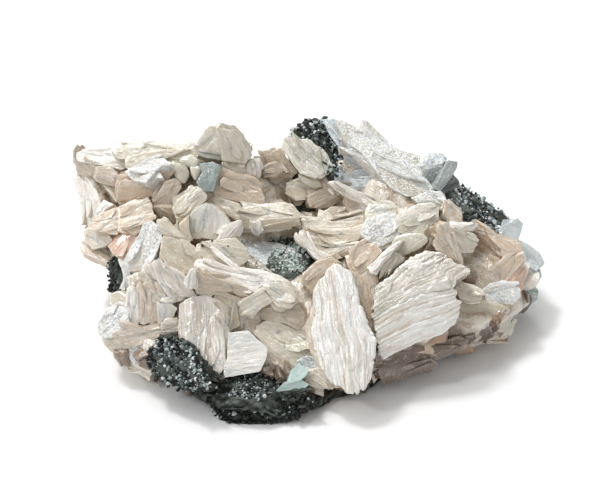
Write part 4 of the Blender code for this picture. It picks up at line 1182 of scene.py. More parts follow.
@dataclass
class Hollow(CrystalGroup):
    """The crystals that line the hollow behind the middle. Most have looks a step darker than their own
    colour: painted shade in the hollow.
    """

    name: str = "hollow"
    seed: int = 1300
    crystals: tuple[Crystal, ...] = (
        Crystal("cave_block", Look.BLUSH, 20.5, (-0.1, -0.75, 0.65), spots(
            272, 182, 280, 180, 288, 187, 290, 195, 285, 201, 270, 203, 266, 196, 266, 188), 6),
        Crystal("cave_bead", Look.BLUSH, 19, (-0.2, -0.7, 0.7), spots(
            291, 195, 297, 190, 303, 190, 308, 197, 300, 205, 294, 206, 290, 202), 6),
        Crystal("cave_pillow", Look.BEIGE, 19.5, (0, -0.6, 0.8), spots(
            321, 213, 330, 206, 345, 205, 355, 208, 350, 217, 338, 221, 325, 219)),
        Crystal("saddle_top", Look.TAN_SHADE, 27, (0, -0.75, 0.65), spots(
            252, 155, 264, 156, 275, 150, 281, 147, 286, 156, 298, 172, 292, 178, 276, 176, 264, 178), 6),
        Crystal("saddle_rod", Look.TAN_SHADE, 27.5, (0, -0.7, 0.75), spots(
            262, 168, 270, 162, 281, 164, 283, 171, 274, 177, 264, 177)),
        Crystal("saddle_under", Look.TAN_SHADE, 22, (0, -0.9, 0.4), spots(
            264, 178, 278, 176, 292, 178, 312, 191, 300, 191, 288, 187, 280, 180, 268, 190), 6),
        Crystal("inner_finger", Look.BEIGE, 22.5, (0.1, -0.6, 0.8), spots(
            286, 182, 298, 177, 312, 181, 318, 190, 310, 199, 296, 200, 286, 193)),
        Crystal("inner_blade", Look.TAN_SHADE, 22, (0.2, -0.7, 0.7), spots(
            306, 196, 322, 188, 338, 190, 342, 198, 328, 206, 310, 207)),
        Crystal("inner_brown", Look.BROWN_SHADE, 23.5, (0, -0.7, 0.7), spots(
            312, 170, 326, 172, 334, 180, 328, 188, 314, 184)),
    )


@dataclass
class RearRidge(CrystalGroup):
    """The rear slab with its frost, and the ribs that lean on it."""

    name: str = "rear_ridge"
    seed: int = 1400
    crystals: tuple[Crystal, ...] = (
        Crystal("rear_plate", Look.GREEN, 31, (-0.05, -0.7, 0.7), spots(
            281, 146, 285, 136, 297, 138, 310, 139, 318, 147, 321, 155, 322, 165, 325, 172, 315, 178,
            300, 173, 292, 162), 6),
        Crystal("rear_straw", Look.STRAW, 25.5, (-0.1, -0.8, 0.6), spots(
            297, 173, 312, 178, 318, 177, 322, 186, 314, 189, 305, 184, 298, 178), 6),
        Crystal("pink_block", Look.BLUSH, 23.5, (-0.1, -0.75, 0.65), spots(
            318, 179, 326, 176, 334, 181, 342, 192, 335, 199, 325, 197, 315, 190), 7),
        Crystal("white_rib", Look.WHITE, 25, (-0.1, -0.6, 0.8), spots(
            326, 181, 337, 180, 355, 189, 372, 199, 396, 212, 386, 217, 365, 204, 350, 199, 336, 190), 6,
            -24),
        # Under the white rib: a darker look as painted shade
        Crystal("rib_under", Look.TAN_SHADE, 22, (-0.1, -0.75, 0.65), spots(
            345, 197, 366, 206, 374, 212, 367, 222, 353, 217, 345, 207), 6),
        Crystal("green_lobe", Look.GREEN, 24.5, (0, -0.6, 0.8), spots(
            372, 204, 385, 203, 397, 207, 397, 213, 388, 220, 371, 225, 366, 218), 6),
        Crystal("slab", Look.SUGAR, 31.5, (0.22, -0.35, 0.9), spots(
            334, 118, 344, 119, 360, 129, 372, 135, 386, 144, 403, 150, 421, 154, 420, 165, 425, 176,
            437, 190, 422, 194, 408, 196, 392, 188, 376, 171, 362, 153, 345, 140), 6, -40),
        Crystal("slab_step", Look.MIST, 26, (-0.1, -0.6, 0.8), spots(
            376, 172, 392, 184, 410, 196, 404, 204, 392, 203, 381, 198, 378, 184)),
        Crystal("frost_band", Look.COLD, 33.5, (-0.2, -0.7, 0.7), spots(
            322, 119, 334, 118, 345, 140, 365, 153, 352, 157, 341, 150, 330, 135)),
        Crystal("edge_tips", Look.COLD, 32.5, (-0.1, -0.6, 0.8), spots(
            289, 130, 300, 128, 312, 121, 322, 119, 318, 126, 304, 131, 297, 138, 290, 138)),
        Crystal("frost_steps", Look.COLD, 27, (-0.1, -0.7, 0.7), spots(
            345, 178, 366, 178, 380, 168, 386, 176, 374, 181, 368, 187, 356, 187)),
        Crystal("mint_blade", Look.COLD, 31, (0, -0.5, 0.85), spots(
            423, 156, 430, 151, 443, 152, 448, 158, 444, 168, 438, 166, 426, 169, 420, 165)),
    )


@dataclass
class RightRim(CrystalGroup):
    """The right rim: arch, brown ball and faceted block."""

    name: str = "right_rim"
    seed: int = 1500
    crystals: tuple[Crystal, ...] = (
        Crystal("sugar_plate", Look.SUGAR, 26, (0, -0.65, 0.75), spots(
            411, 197, 430, 190, 441, 191, 446, 198, 449, 208, 445, 216, 440, 208, 431, 202, 418, 203), 6),
        Crystal("pale_plate", Look.GREEN, 27, (-0.05, -0.7, 0.75), spots(
            398, 214, 418, 203, 432, 202, 440, 208, 438, 220, 430, 226, 424, 232, 410, 238, 398, 232,
            396, 222)),
        # A darker look as painted shade in the cleft
        Crystal("cleft", Look.TAN_SHADE, 24, (-0.1, -0.9, 0.4), spots(
            423, 231, 438, 224, 438, 243, 432, 250, 417, 255, 429, 241), 6),
        Crystal("blush_grey", Look.BLUSH, 26, (0.1, -0.7, 0.7), spots(
            446, 200, 454, 206, 462, 212, 463, 222, 449, 223, 442, 216), 6),
        Crystal("upright", Look.BLUSH, 26, (0.1, -0.8, 0.6), spots(
            437, 224, 447, 225, 452, 240, 460, 254, 461, 261, 448, 257, 436, 250, 433, 244, 437, 236), 6),
        Crystal("white_lip", Look.WHITE, 25.5, (0.1, -0.5, 0.85), spots(
            446, 223, 465, 221, 479, 223, 472, 230, 452, 230)),
        Crystal("grey_block", Look.MIST, 23.5, (0.25, -0.7, 0.65), spots(
            450, 227, 462, 230, 475, 233, 478, 244, 473, 252, 461, 253, 455, 244), 6),
        Crystal("arch_top", Look.PEACH, 22, (0.15, -0.45, 0.88), spots(
            466, 224, 479, 221, 486, 224, 500, 236, 520, 241, 524, 251, 512, 252, 500, 248, 488, 236,
            476, 231)),
        # The arch's inside: a brown look as painted shade
        Crystal("arch_inside", Look.BROWN_SHADE, 19, (-0.3, -0.85, 0.4), spots(
            473, 230, 488, 235, 500, 248, 506, 256, 500, 267, 494, 263, 484, 256, 474, 251, 478, 242), 6),
        Crystal("arch_right", Look.PEACH, 17.5, (0.05, -0.75, 0.65), spots(
            500, 248, 512, 250, 524, 251, 521, 261, 512, 272, 505, 281, 493, 280, 492, 272, 503, 258), 6),
        Crystal("rim_crust", Look.COLD, 14, (0.5, -0.5, 0.7), spots(
            518, 239, 528, 243, 540, 252, 545, 262, 541, 268, 533, 275, 526, 271, 520, 262, 524, 251), 6),
        Crystal("rim_rose", Look.ROSE, 14.5, (0.3, -0.75, 0.6), spots(
            504, 281, 512, 272, 520, 261, 528, 271, 525, 280, 520, 290, 510, 288), 6),
        Crystal("white_crust", Look.FROST, 14, (0.05, -0.7, 0.7), spots(
            481, 290, 490, 283, 505, 280, 521, 288, 521, 296, 512, 304, 500, 304, 485, 301), 6),
        Crystal("brown_ball", Look.AMBER, 15.5, (0, -0.8, 0.6), spots(
            462, 258, 470, 255, 480, 257, 488, 265, 491, 276, 484, 287, 476, 285, 474, 275, 466, 270), 6),
        Crystal("brown_bead", Look.AMBER, 16, (0, -0.8, 0.6), spots(
            459, 278, 466, 270, 474, 269, 478, 276, 476, 286, 466, 283)),
        Crystal("tan_spear", Look.CREAM, 17, (0, -0.6, 0.8), spots(
            454, 286, 459, 280, 471, 284, 480, 291, 483, 299, 470, 301, 460, 298), 4),
        Crystal("facet_main", Look.BEIGE, 11.5, (0.1, -0.7, 0.7), spots(
            459, 300, 483, 299, 500, 303, 507, 307, 500, 316, 490, 331, 478, 326, 468, 331, 458, 320), 7),
        Crystal("facet_right", Look.MIST, 8, (0.45, -0.7, 0.5), spots(
            500, 315, 507, 306, 515, 312, 511, 322, 511, 335, 498, 331, 489, 331), 7),
        Crystal("facet_left", Look.BLUSH, 8.5, (0, -0.8, 0.6), spots(
            450, 331, 458, 320, 468, 330, 473, 334, 466, 341, 446, 343), 7),
        # The facets' underside: a darker look as painted shade
        Crystal("facet_under", Look.TAN_SHADE, 4.5, (0.1, -0.95, 0.3), spots(
            472, 334, 490, 330, 511, 333, 505, 339, 480, 344, 464, 345), 7),
        Crystal("brown_crystal", Look.AMBER, 5, (0.1, -0.9, 0.4), spots(
            396, 352, 418, 350, 434, 351, 438, 358, 437, 366, 430, 373, 420, 373, 406, 365), 8),
    )


@dataclass
class Fan(CrystalGroup):
    """The two-part fan in front, on the right."""

    name: str = "fan"
    seed: int = 1600
    crystals: tuple[Crystal, ...] = (
        Crystal("fan_upper", Look.FAN, 24, (0, -0.55, 0.83), spots(
            377, 284, 392, 274, 402, 263, 413, 255, 425, 250, 440, 252, 455, 260, 471, 270, 457, 279,
            456, 286, 440, 290, 420, 293, 400, 303, 380, 313, 373, 317, 372, 305), 7, 28),
        Crystal("fan_lower", Look.SHEAF, 17.5, (0.1, -0.75, 0.65), spots(
            373, 316, 390, 306, 405, 298, 420, 291, 440, 288, 456, 285, 457, 296, 463, 303, 461, 311,
            456, 322, 448, 331, 435, 337, 420, 341, 408, 347, 395, 353, 380, 361, 378, 345), 8, 26),
        # A brown look as painted shade in the hollow
        Crystal("fan_hollow", Look.BROWN_SHADE, 23, (0, -0.8, 0.6), spots(
            376, 284, 380, 272, 392, 262, 403, 262, 392, 274)),
        # Dark brown crystals under the fan's overhang: their dark looks paint its shade
        Crystal("under_brown", Look.UMBER_SHADE, 9.5, (0.15, -0.9, 0.35), spots(
            374, 350, 398, 352, 428, 346, 458, 336, 470, 340, 462, 350, 432, 362, 402, 372, 380, 378), 6),
        Crystal("under_dark", Look.UMBER_SHADE, 6, (0.1, -0.95, 0.2), spots(
            378, 372, 402, 366, 432, 358, 440, 366, 412, 376, 384, 386)),
    )


@dataclass
class Middle(CrystalGroup):
    """The ridges and plates of the middle."""

    name: str = "middle"
    seed: int = 1700
    crystals: tuple[Crystal, ...] = (
        Crystal("tan_left", Look.PEACH, 26, (0, -0.6, 0.8), spots(
            349, 247, 360, 243, 376, 242, 383, 250, 374, 259, 368, 268, 358, 276, 350, 263)),
        Crystal("tan_right", Look.STRAW, 26.5, (0, -0.7, 0.7), spots(
            394, 236, 410, 232, 424, 233, 430, 240, 420, 248, 405, 255, 395, 260, 390, 252)),
        Crystal("white_spine", Look.WHITE, 27.5, (-0.1, -0.6, 0.8), spots(
            368, 271, 378, 258, 388, 248, 400, 240, 396, 248, 384, 262, 376, 274), 4),
        Crystal("near_ridge", Look.CREAM, 25.5, (0, -0.6, 0.8), spots(
            381, 264, 394, 250, 404, 256, 401, 262, 388, 268, 379, 279)),
        Crystal("hollow_lip", Look.CREAM, 21, (0, -0.45, 0.9), spots(
            300, 215, 318, 216, 334, 221, 350, 217, 366, 212, 371, 219, 352, 228, 330, 229, 302, 227)),
        Crystal("cream_flat", Look.BEIGE, 22.5, (0.02, -0.5, 0.87), spots(
            302, 226, 330, 228, 352, 227, 371, 219, 372, 229, 356, 241, 340, 244, 326, 248, 312, 240,
            305, 232)),
        Crystal("cream_band", Look.CREAM, 22, (0, -0.7, 0.7), spots(
            312, 240, 326, 248, 340, 244, 356, 241, 366, 240, 352, 247, 348, 256, 332, 256, 318, 250)),
        Crystal("white_ridge", Look.WHITE, 22.5, (-0.1, -0.6, 0.8), spots(
            298, 231, 303, 228, 308, 238, 316, 248, 332, 255, 326, 260, 314, 257, 306, 248, 299, 240), 4),
        Crystal("mid_cream", Look.FROST, 25, (0, -0.5, 0.87), spots(
            366, 218, 386, 212, 400, 214, 404, 226, 397, 238, 380, 246, 366, 241, 360, 231)),
        Crystal("arch_gap", Look.TAN_SHADE, 20.5, (-0.2, -0.7, 0.7), spots(
            302, 273, 316, 261, 332, 256, 341, 262, 327, 270, 318, 283, 314, 292, 307, 288, 301, 283)),
        Crystal("peach_gap", Look.PEACH, 20.5, (0.2, -0.7, 0.7), spots(
            350, 268, 360, 275, 368, 269, 377, 272, 379, 283, 377, 294, 373, 310, 371, 330, 364, 316,
            357, 296), 6),
        Crystal("sheaf_strip", Look.BLUSH, 10, (0.2, -0.85, 0.5), spots(
            366, 318, 371, 322, 378, 318, 379, 345, 380, 362, 382, 372, 374, 384, 370, 372, 374, 350), 6),
        Crystal("druse_bed", Look.COLD, 16.9, (0, -0.15, 1), spots(
            244, 246, 258, 240, 276, 242, 296, 248, 301, 262, 286, 271, 262, 269, 248, 260), 3),
    )


@dataclass
class Sheaf(CrystalGroup):
    """The upright sheaf in front."""

    name: str = "sheaf"
    seed: int = 1800
    crystals: tuple[Crystal, ...] = (
        Crystal("sheaf", Look.SHEAF, 18, (-0.05, -0.6, 0.8), spots(
            336, 262, 345, 268, 353, 272, 355, 283, 359, 293, 360, 304, 365, 312, 371, 330, 377, 338,
            376, 352, 373, 364, 371, 380, 366, 388, 355, 394, 344, 390, 330, 381, 321, 366, 314, 345,
            311, 328, 316, 312, 312, 296, 316, 284, 325, 271), 7, -82),
        Crystal("sheaf_flank", Look.BEIGE, 12, (-0.45, -0.65, 0.6), spots(
            311, 312, 318, 320, 324, 350, 340, 384, 330, 384, 318, 368, 308, 346, 305, 328), 7, -75),
    )


@dataclass
class Shelf(CrystalGroup):
    """The long shelf in front of the middle, and the crystals on and under it."""

    name: str = "shelf"
    seed: int = 1900
    crystals: tuple[Crystal, ...] = (
        Crystal("glass_fan", Look.GLASSY, 27, (-0.05, -0.8, 0.55), spots(
            190, 214, 196, 207, 206, 202, 216, 206, 224, 214, 230, 222, 228, 232, 216, 239, 204, 238,
            192, 239, 188, 228), streak=80),
        Crystal("feather", Look.WHITE, 27, (0.1, -0.7, 0.7), spots(
            216, 240, 222, 228, 231, 222, 241, 219, 242, 223, 240, 232, 236, 237, 226, 239), 3, 30),
        Crystal("glass_side", Look.BEIGE, 26, (-0.1, -0.8, 0.6), spots(
            174, 228, 189, 214, 189, 230, 193, 240, 186, 241, 177, 233)),
        Crystal("grey_plate", Look.MIST, 24.5, (0.05, -0.6, 0.8), spots(
            197, 243, 212, 239, 236, 237, 247, 248, 250, 257, 245, 262, 236, 268, 220, 266, 204, 259,
            195, 250)),
        Crystal("shelf", Look.PEARL, 23, (0.1, -0.35, 0.9), spots(
            194, 259, 205, 258, 220, 265, 238, 267, 262, 269, 280, 275, 296, 284, 300, 291, 290, 290,
            272, 288, 256, 292, 240, 285, 224, 280, 205, 277, 194, 269)),
        # The shelf's front, turned from the light: a darker look as painted shade
        Crystal("shelf_front", Look.TAN_SHADE, 22, (0.05, -0.9, 0.4), spots(
            196, 270, 206, 277, 225, 280, 242, 285, 257, 292, 258, 298, 240, 298, 232, 292, 215, 292,
            212, 297, 203, 293, 196, 287), 6),
        Crystal("shelf_end", Look.CREAM, 20.5, (0.1, -0.6, 0.8), spots(
            262, 285, 272, 280, 288, 280, 296, 286, 300, 293, 298, 302, 290, 308, 278, 306, 271, 299), 6),
        Crystal("prism", Look.BEIGE, 18, (0.1, -0.8, 0.6), spots(
            213, 297, 218, 288, 224, 284, 234, 291, 237, 300, 238, 310, 240, 325, 229, 332, 227, 318,
            225, 308, 220, 302), 6),
        Crystal("arrow", Look.CREAM, 19, (0, -0.8, 0.6), spots(
            236, 301, 250, 295, 264, 290, 273, 301, 262, 308, 252, 317, 244, 312, 239, 306), 7),
        Crystal("splinter", Look.WHITE, 13.5, (0, -0.8, 0.6), spots(
            240, 314, 247, 311, 254, 316, 255, 331, 241, 331, 236, 329, 241, 322)),
        # A darker look as painted shade under the shelf
        Crystal("under_block", Look.TAN_SHADE, 15.5, (0, -0.75, 0.65), spots(
            258, 312, 272, 301, 285, 306, 298, 304, 305, 314, 304, 324, 299, 330, 285, 323, 262, 319), 6),
        Crystal("pillow", Look.CREAM, 11, (0.05, -0.6, 0.8), spots(
            253, 333, 257, 325, 268, 319, 282, 322, 296, 330, 308, 330, 312, 346, 320, 357, 302, 360,
            292, 368, 278, 361, 267, 356, 262, 342), 8),
        # A darker band below the pillow: painted shade
        Crystal("pillow_band", Look.TAN_SHADE, 7.5, (0, -0.9, 0.4), spots(
            264, 358, 268, 356, 280, 361, 293, 367, 290, 376, 272, 374, 261, 371), 6, -15),
        Crystal("milk_upper", Look.COLD, 9, (0.1, -0.7, 0.7), spots(
            300, 358, 307, 355, 319, 356, 321, 366, 309, 371, 301, 363)),
        Crystal("milk_lower", Look.CREAM, 7, (0, -0.7, 0.7), spots(
            304, 371, 318, 366, 326, 375, 334, 389, 318, 388, 308, 385, 302, 377), 6),
    )


@dataclass
class LeftRays(CrystalGroup):
    """The blades that fan out to the left."""

    name: str = "left_rays"
    seed: int = 2000
    crystals: tuple[Crystal, ...] = (
        Crystal("ray_top", Look.CREAM, 26.5, (0.1, -0.6, 0.8), spots(
            156, 218, 163, 218, 178, 229, 191, 241, 186, 244, 166, 237, 158, 228), 4),
        Crystal("ray_flat", Look.BEIGE, 25, (0.05, -0.65, 0.75), spots(
            162, 236, 172, 237, 187, 243, 201, 256, 198, 270, 186, 274, 170, 269, 159, 258), 4),
        Crystal("ray_low", Look.PEARL, 23, (0.1, -0.7, 0.7), spots(
            158, 257, 167, 265, 184, 272, 192, 288, 198, 297, 180, 296, 166, 284, 158, 268)),
        Crystal("ray_slip", Look.PEARL, 25, (-0.1, -0.8, 0.6), spots(
            184, 279, 191, 268, 196, 269, 196, 283, 192, 289, 186, 287), 3),
        Crystal("ray_curve", Look.WHITE, 22.5, (0.2, -0.7, 0.65), spots(
            152, 262, 158, 258, 164, 270, 172, 283, 186, 298, 178, 302, 166, 294, 157, 280)),
        Crystal("ray_left", Look.CREAM, 21.5, (0.2, -0.6, 0.75), spots(
            138, 272, 152, 262, 158, 273, 168, 288, 178, 296, 166, 299, 152, 290, 144, 281)),
        Crystal("ray_end", Look.CREAM, 20, (0.1, -0.7, 0.7), spots(
            148, 284, 160, 291, 172, 298, 160, 303, 150, 303, 145, 292)),
        Crystal("straw_tip", Look.STRAW, 19.5, (0.2, -0.5, 0.85), spots(
            158, 300, 164, 296, 176, 295, 178, 301, 168, 304), 4),
        Crystal("spiky", Look.GLASSY, 17.5, (0.2, -0.8, 0.6), spots(
            158, 303, 170, 302, 177, 308, 173, 318, 163, 324, 157, 312), 4),
        Crystal("slat_white", Look.WHITE, 17.5, (-0.3, -0.8, 0.5), spots(
            127, 291, 133, 287, 138, 296, 141, 318, 137, 326, 129, 323, 125, 306), streak=85),
        Crystal("slat_inner", Look.BLUSH, 18.5, (-0.1, -0.8, 0.6), spots(
            137, 290, 144, 281, 151, 292, 153, 306, 149, 323, 140, 325, 138, 308), streak=80),
        Crystal("slat_outer", Look.BLUSH, 18.5, (0.1, -0.8, 0.6), spots(
            145, 281, 153, 284, 162, 300, 167, 312, 159, 327, 149, 323, 152, 302), streak=70),
        Crystal("slat_rear", Look.CREAM, 20.5, (-0.2, -0.7, 0.7), spots(
            127, 276, 139, 271, 147, 281, 140, 292, 129, 289)),
        Crystal("rock_rim", Look.FROST, 16.5, (-0.4, -0.7, 0.6), spots(
            117, 257, 130, 268, 131, 290, 121, 293, 123, 275)),
        Crystal("mist_knob", Look.MIST, 13.5, (-0.5, -0.7, 0.5), spots(
            110, 294, 118, 290, 127, 295, 127, 307, 116, 309, 109, 304), 6),
    )


@dataclass
class LowerLeft(CrystalGroup):
    """The knobs and drips of the lower left."""

    name: str = "lower_left"
    seed: int = 2100
    crystals: tuple[Crystal, ...] = (
        Crystal("round_fan", Look.FROST, 14, (-0.35, -0.6, 0.75), spots(
            108, 311, 118, 305, 127, 308, 129, 323, 125, 335, 110, 337, 100, 338, 97, 328, 100, 318), 6),
        Crystal("round_low", Look.CREAM, 10.5, (-0.35, -0.75, 0.5), spots(
            98, 333, 110, 331, 130, 326, 141, 336, 130, 348, 112, 352, 104, 345), 6),
        Crystal("long_low", Look.BLUSH, 13, (-0.05, -0.85, 0.5), spots(
            110, 334, 128, 326, 150, 329, 162, 326, 178, 322, 178, 333, 160, 341, 141, 348, 118, 342), 6),
        Crystal("low_block", Look.CREAM, 15, (0.1, -0.8, 0.6), spots(
            160, 325, 166, 318, 178, 317, 180, 330, 170, 332, 161, 331)),
        Crystal("drip_white", Look.FROST, 9, (-0.2, -0.8, 0.6), spots(
            126, 340, 138, 337, 143, 346, 151, 358, 147, 362, 133, 363, 126, 353)),
        Crystal("drip_brown", Look.AMBER, 7, (-0.3, -0.9, 0.3), spots(
            112, 351, 127, 350, 129, 368, 120, 366, 114, 359), 6),
        Crystal("drip_low", Look.CREAM, 5.5, (-0.3, -0.85, 0.4), spots(
            127, 361, 141, 360, 151, 359, 152, 372, 149, 381, 140, 371, 129, 368), 6),
    )


@dataclass
class FrontBooks(CrystalGroup):
    """The book and the bright tablet in front."""

    name: str = "front_books"
    seed: int = 2200
    crystals: tuple[Crystal, ...] = (
        Crystal("book", Look.PEARL, 14, (0, -0.62, 0.78), spots(
            179, 303, 190, 297, 206, 294, 219, 299, 223, 310, 224, 335, 226, 362, 222, 371, 210, 379,
            201, 376, 195, 366, 184, 350, 178, 340), 6, 95),
        Crystal("book_side", Look.CREAM, 13.5, (0.6, -0.6, 0.5), spots(
            218, 299, 228, 306, 230, 330, 229, 360, 226, 371, 221, 371, 225, 350, 223, 312), streak=90),
        Crystal("book_foot", Look.MIST, 5.5, (0, -0.8, 0.6), spots(
            212, 369, 219, 366, 226, 377, 222, 385, 212, 391, 204, 387)),
        Crystal("tablet", Look.TABLET, 11.5, (0, -0.68, 0.73), spots(
            228, 332, 248, 330, 268, 348, 266, 359, 260, 371, 225, 377, 223, 368, 227, 358), 3, 8),
    )


def guest_groups() -> list[CrystalGroup]:
    """The apophyllite and quartz crystals, one group for each of their nodes."""
    return [
        CrystalGroup("apophyllite_front_crystal", 3100, (
            Crystal("front_upper", Look.MINT, 9, (-0.2, -0.7, 0.7), spots(
                291, 370, 298, 363, 308, 371, 304, 377, 300, 380, 286, 384)),
            Crystal("front_lower", Look.MINT, 6, (-0.1, -0.8, 0.6), spots(
                284, 382, 300, 379, 309, 384, 299, 393, 290, 393, 280, 395, 276, 390)),
        ), "mint_apophyllite", "apophyllite_front"),
        CrystalGroup("apophyllite_hollow_crystal", 3200, (
            Crystal("hollow_glass", Look.GREY_GLASS, 31.5, (-0.1, -0.7, 0.7), spots(
                199, 163, 212, 161, 221, 165, 217, 178, 213, 191, 204, 191, 196, 182, 202, 172), 6),
        ), "grey_apophyllite", "apophyllite_hollow"),
        CrystalGroup("apophyllite_rim_crystal", 3300, (
            Crystal("rim_glass", Look.CLEAR, 20, (0, -0.5, 0.85), spots(
                503, 219, 518, 218, 523, 223, 521, 232, 517, 240, 500, 239, 499, 230), 8),
        ), "clear_apophyllite", "apophyllite_rim"),
        CrystalGroup("apophyllite_side_upper_crystal", 3400, (
            Crystal("side_upper", Look.GREY_GLASS, 9.5, (0.5, -0.8, 0.3), spots(
                528, 275, 541, 269, 542, 276, 536, 284, 529, 281), 6),
        ), "grey_apophyllite", "apophyllite_side_upper"),
        CrystalGroup("apophyllite_side_lower_crystal", 3500, (
            Crystal("side_lower", Look.GREY_GLASS, 7.5, (0.4, -0.8, 0.4), spots(
                524, 285, 532, 282, 539, 290, 538, 299, 528, 306, 518, 301, 521, 292), 6),
        ), "grey_apophyllite", "apophyllite_side_lower"),
        CrystalGroup("apophyllite_ridge_crystal", 3600, (
            Crystal("striped", Look.STRIPED, 29.5, (0.35, -0.75, 0.55), spots(
                448, 160, 458, 161, 457, 168, 446, 184, 440, 191, 435, 188, 442, 172), streak=55),
            Crystal("grey_face", Look.STRIPED, 28, (0.1, -0.9, 0.4), spots(
                426, 169, 441, 166, 445, 170, 438, 188, 428, 183, 421, 175), streak=80),
            Crystal("dark_face", Look.DARK_GLASS, 26.5, (0.5, -0.75, 0.35), spots(
                453, 173, 460, 181, 462, 190, 445, 196, 439, 190, 447, 182), 6),
        ), "striped_apophyllite", "apophyllite_ridge"),
        CrystalGroup("quartz_pocket_crystal", 3700, (
            Crystal("vug_upper", Look.QUARTZ, 30, (-0.1, -0.8, 0.6), spots(
                343, 153, 356, 155, 366, 152, 378, 164, 386, 172, 372, 170, 352, 169, 343, 163)),
            Crystal("vug_middle", Look.QUARTZ, 28, (0, -0.8, 0.6), spots(
                350, 172, 358, 169, 368, 168, 374, 173, 369, 179, 356, 180)),
            Crystal("vug_left", Look.QUARTZ, 27, (0, -0.75, 0.65), spots(
                334, 172, 350, 170, 354, 180, 345, 183, 333, 179)),
        ), "quartz", "quartz_pocket"),
    ]


@dataclass
class BackBlades(CrystalGroup):
    """Blades of the far side, each from its foot to its tip, with its width and thickness."""

    name: str = "back_blades"
    seed: int = 2300
    crystals: tuple[Crystal, ...] = ()
    looks: tuple[Look, ...] = (Look.CREAM, Look.BLUSH, Look.BEIGE, Look.FROST, Look.WHITE)
    cell: float = 0.7
    bundle: int = 5
    blades: tuple[tuple[tuple[float, ...], tuple[float, ...], float, float], ...] = (
        ((-44, 21, 21), (-50, 31, 26), 13, 5), ((-33, 23, 21), (-36, 34, 28), 14, 5),
        ((-22, 25, 21), (-24, 37, 27), 13, 6), ((-10, 24, 16), (-11, 36, 21), 12, 5),
        ((-16, 22, 10), (-19, 37, 11), 14, 6), ((-32, 16, 9), (-40, 32, 12), 16, 6),
        ((-44, 10, 10), (-55, 20, 14), 14, 6), ((14, 22, 16), (19, 35, 19), 16, 6),
        ((27, 17, 16), (33, 28, 19), 14, 6), ((46, 3, 10), (56, 9, 11), 12, 6),
    )

    def shells(self) -> list[Shell]:
        """The blades as closed surfaces, each a bundle of thinner ones from one foot."""
        made = []
        for i, (foot, tip, width, thickness) in enumerate(self.blades):
            rng = np.random.default_rng(self.seed + i)
            start, way = np.array(foot, float), np.array(tip, float) - foot
            across = np.array([way[1], -way[0], 0]) / np.hypot(way[0], way[1])
            finish = self.looks[i % len(self.looks)].value
            for j in range(self.bundle):
                spread = (j / (self.bundle - 1) - 0.5) * width
                lift = rng.uniform(-0.4, 0.4) * thickness
                from_here = start + across * spread * 0.5 + [0, 0, lift]
                reach = way * rng.uniform(0.75, 1.0) + across * spread * rng.uniform(0, 0.4)
                reach[2] += rng.uniform(-0.15, 0.15) * width
                made.append(blade_shell(from_here, from_here + reach, width * rng.uniform(0.3, 0.5),
                                        thickness * rng.uniform(0.3, 0.55), finish,
                                        self.seed + 20 * i + j, self.cell))
        return made


@dataclass
class StilbiteBed(Piece):
    """The mass that the crystals grow from: it fills the gaps between them."""

    name: str = "stilbite_bed"
    smooth_angle: float = 80.0
    steps: int = 300
    rings: int = 56
    seed: int = 2400
    light: Colour = (222, 210, 192)
    shade: Colour = (168, 148, 124)
    # Colour of the painted shade low down on the bed, under the overhanging crystals
    deep: Colour = (86, 70, 54)

    def shells(self) -> list[Shell]:
        """The bed: a mound with ridges and knobs, with painted shade in its hollows and low down."""
        points, _ = CRUST_MOUND.surface(self.steps, self.rings)
        knobs = rough(points / 2.6, self.seed, 3)
        fine = rough(points / 0.7, self.seed + 7, 2)
        # Knob tops painted lighter and the hollows between them darker, as light and shade
        blend = np.clip(0.5 + 0.6 * knobs + 0.3 * fine, 0, 1)[..., None]
        light, shade = linear(self.light), linear(self.shade)
        tint = shade + (light - shade) * blend
        # Painted shade: below 11 mm the bed darkens towards its deep colour
        low_shade = np.clip((11 - points[..., 2:]) / 7, 0, 1)
        tint = tint + (linear(self.deep) * (0.7 + 0.6 * blend) - tint) * low_shade
        relief = 0.6 * knobs + 0.15 * fine + 0.2
        frost = np.clip(0.25 + 0.5 * knobs, 0, 1)
        return [mound_shell(CRUST_MOUND, self.steps, self.rings, relief, tint, frost, "satin")]


@dataclass
class SideBlades(Piece):
    """Stilbite blades that stand out of the bed's sides and back, close together."""

    name: str = "side_blades"
    count: int = 170
    seed: int = 2500
    cell: float = 0.75
    steps: int = 240
    rings: int = 60
    first_ring: int = 4
    last_ring: int = 29
    lowest: float = 2.2
    floor: float = 1.6
    high: tuple[Look, ...] = (Look.CREAM, Look.PEACH, Look.BEIGE, Look.FROST, Look.BLUSH)
    # Darker looks for blades low down: painted shade under the overhang
    low_shade: tuple[Look, ...] = (Look.UMBER_SHADE, Look.BROWN_SHADE, Look.AMBER, Look.UMBER_SHADE, Look.TAN_SHADE)

    def shells(self) -> list[Shell]:
        """The blades, strewn over the bed's sides."""
        rng = np.random.default_rng(self.seed)
        points, normals = (part[self.first_ring:self.last_ring + 1].reshape(-1, 3)
                           for part in CRUST_MOUND.surface(self.steps, self.rings))
        picks = rng.choice(len(points), self.count, replace=False)
        shells = []
        for i, (place, out) in enumerate(zip(points[picks], normals[picks])):
            if place[2] < self.lowest:
                continue
            way = out + rng.normal(0, 0.35, 3) + np.array([0, 0, 0.7])
            way /= np.linalg.norm(way)
            length = rng.uniform(4.0, 7.0)
            tip = place + way
            tip[2] = max(tip[2], self.floor)
            # Blades under this height take the darker looks as painted shade; it lies higher at the front
            # right, where the overhang is deeper
            shaded = 14 if place[0] > 12 and place[1] < 0 else 9.5
            looks = self.low_shade if place[2] < shaded + rng.normal(0, 1.5) else self.high
            finish = looks[rng.integers(len(looks))].value
            shells.append(blade_shell(tip - way * length, tip, rng.uniform(3.0, 6.5),
                                      rng.uniform(1.6, 3.0), finish, self.seed + i, self.cell))
        return shells


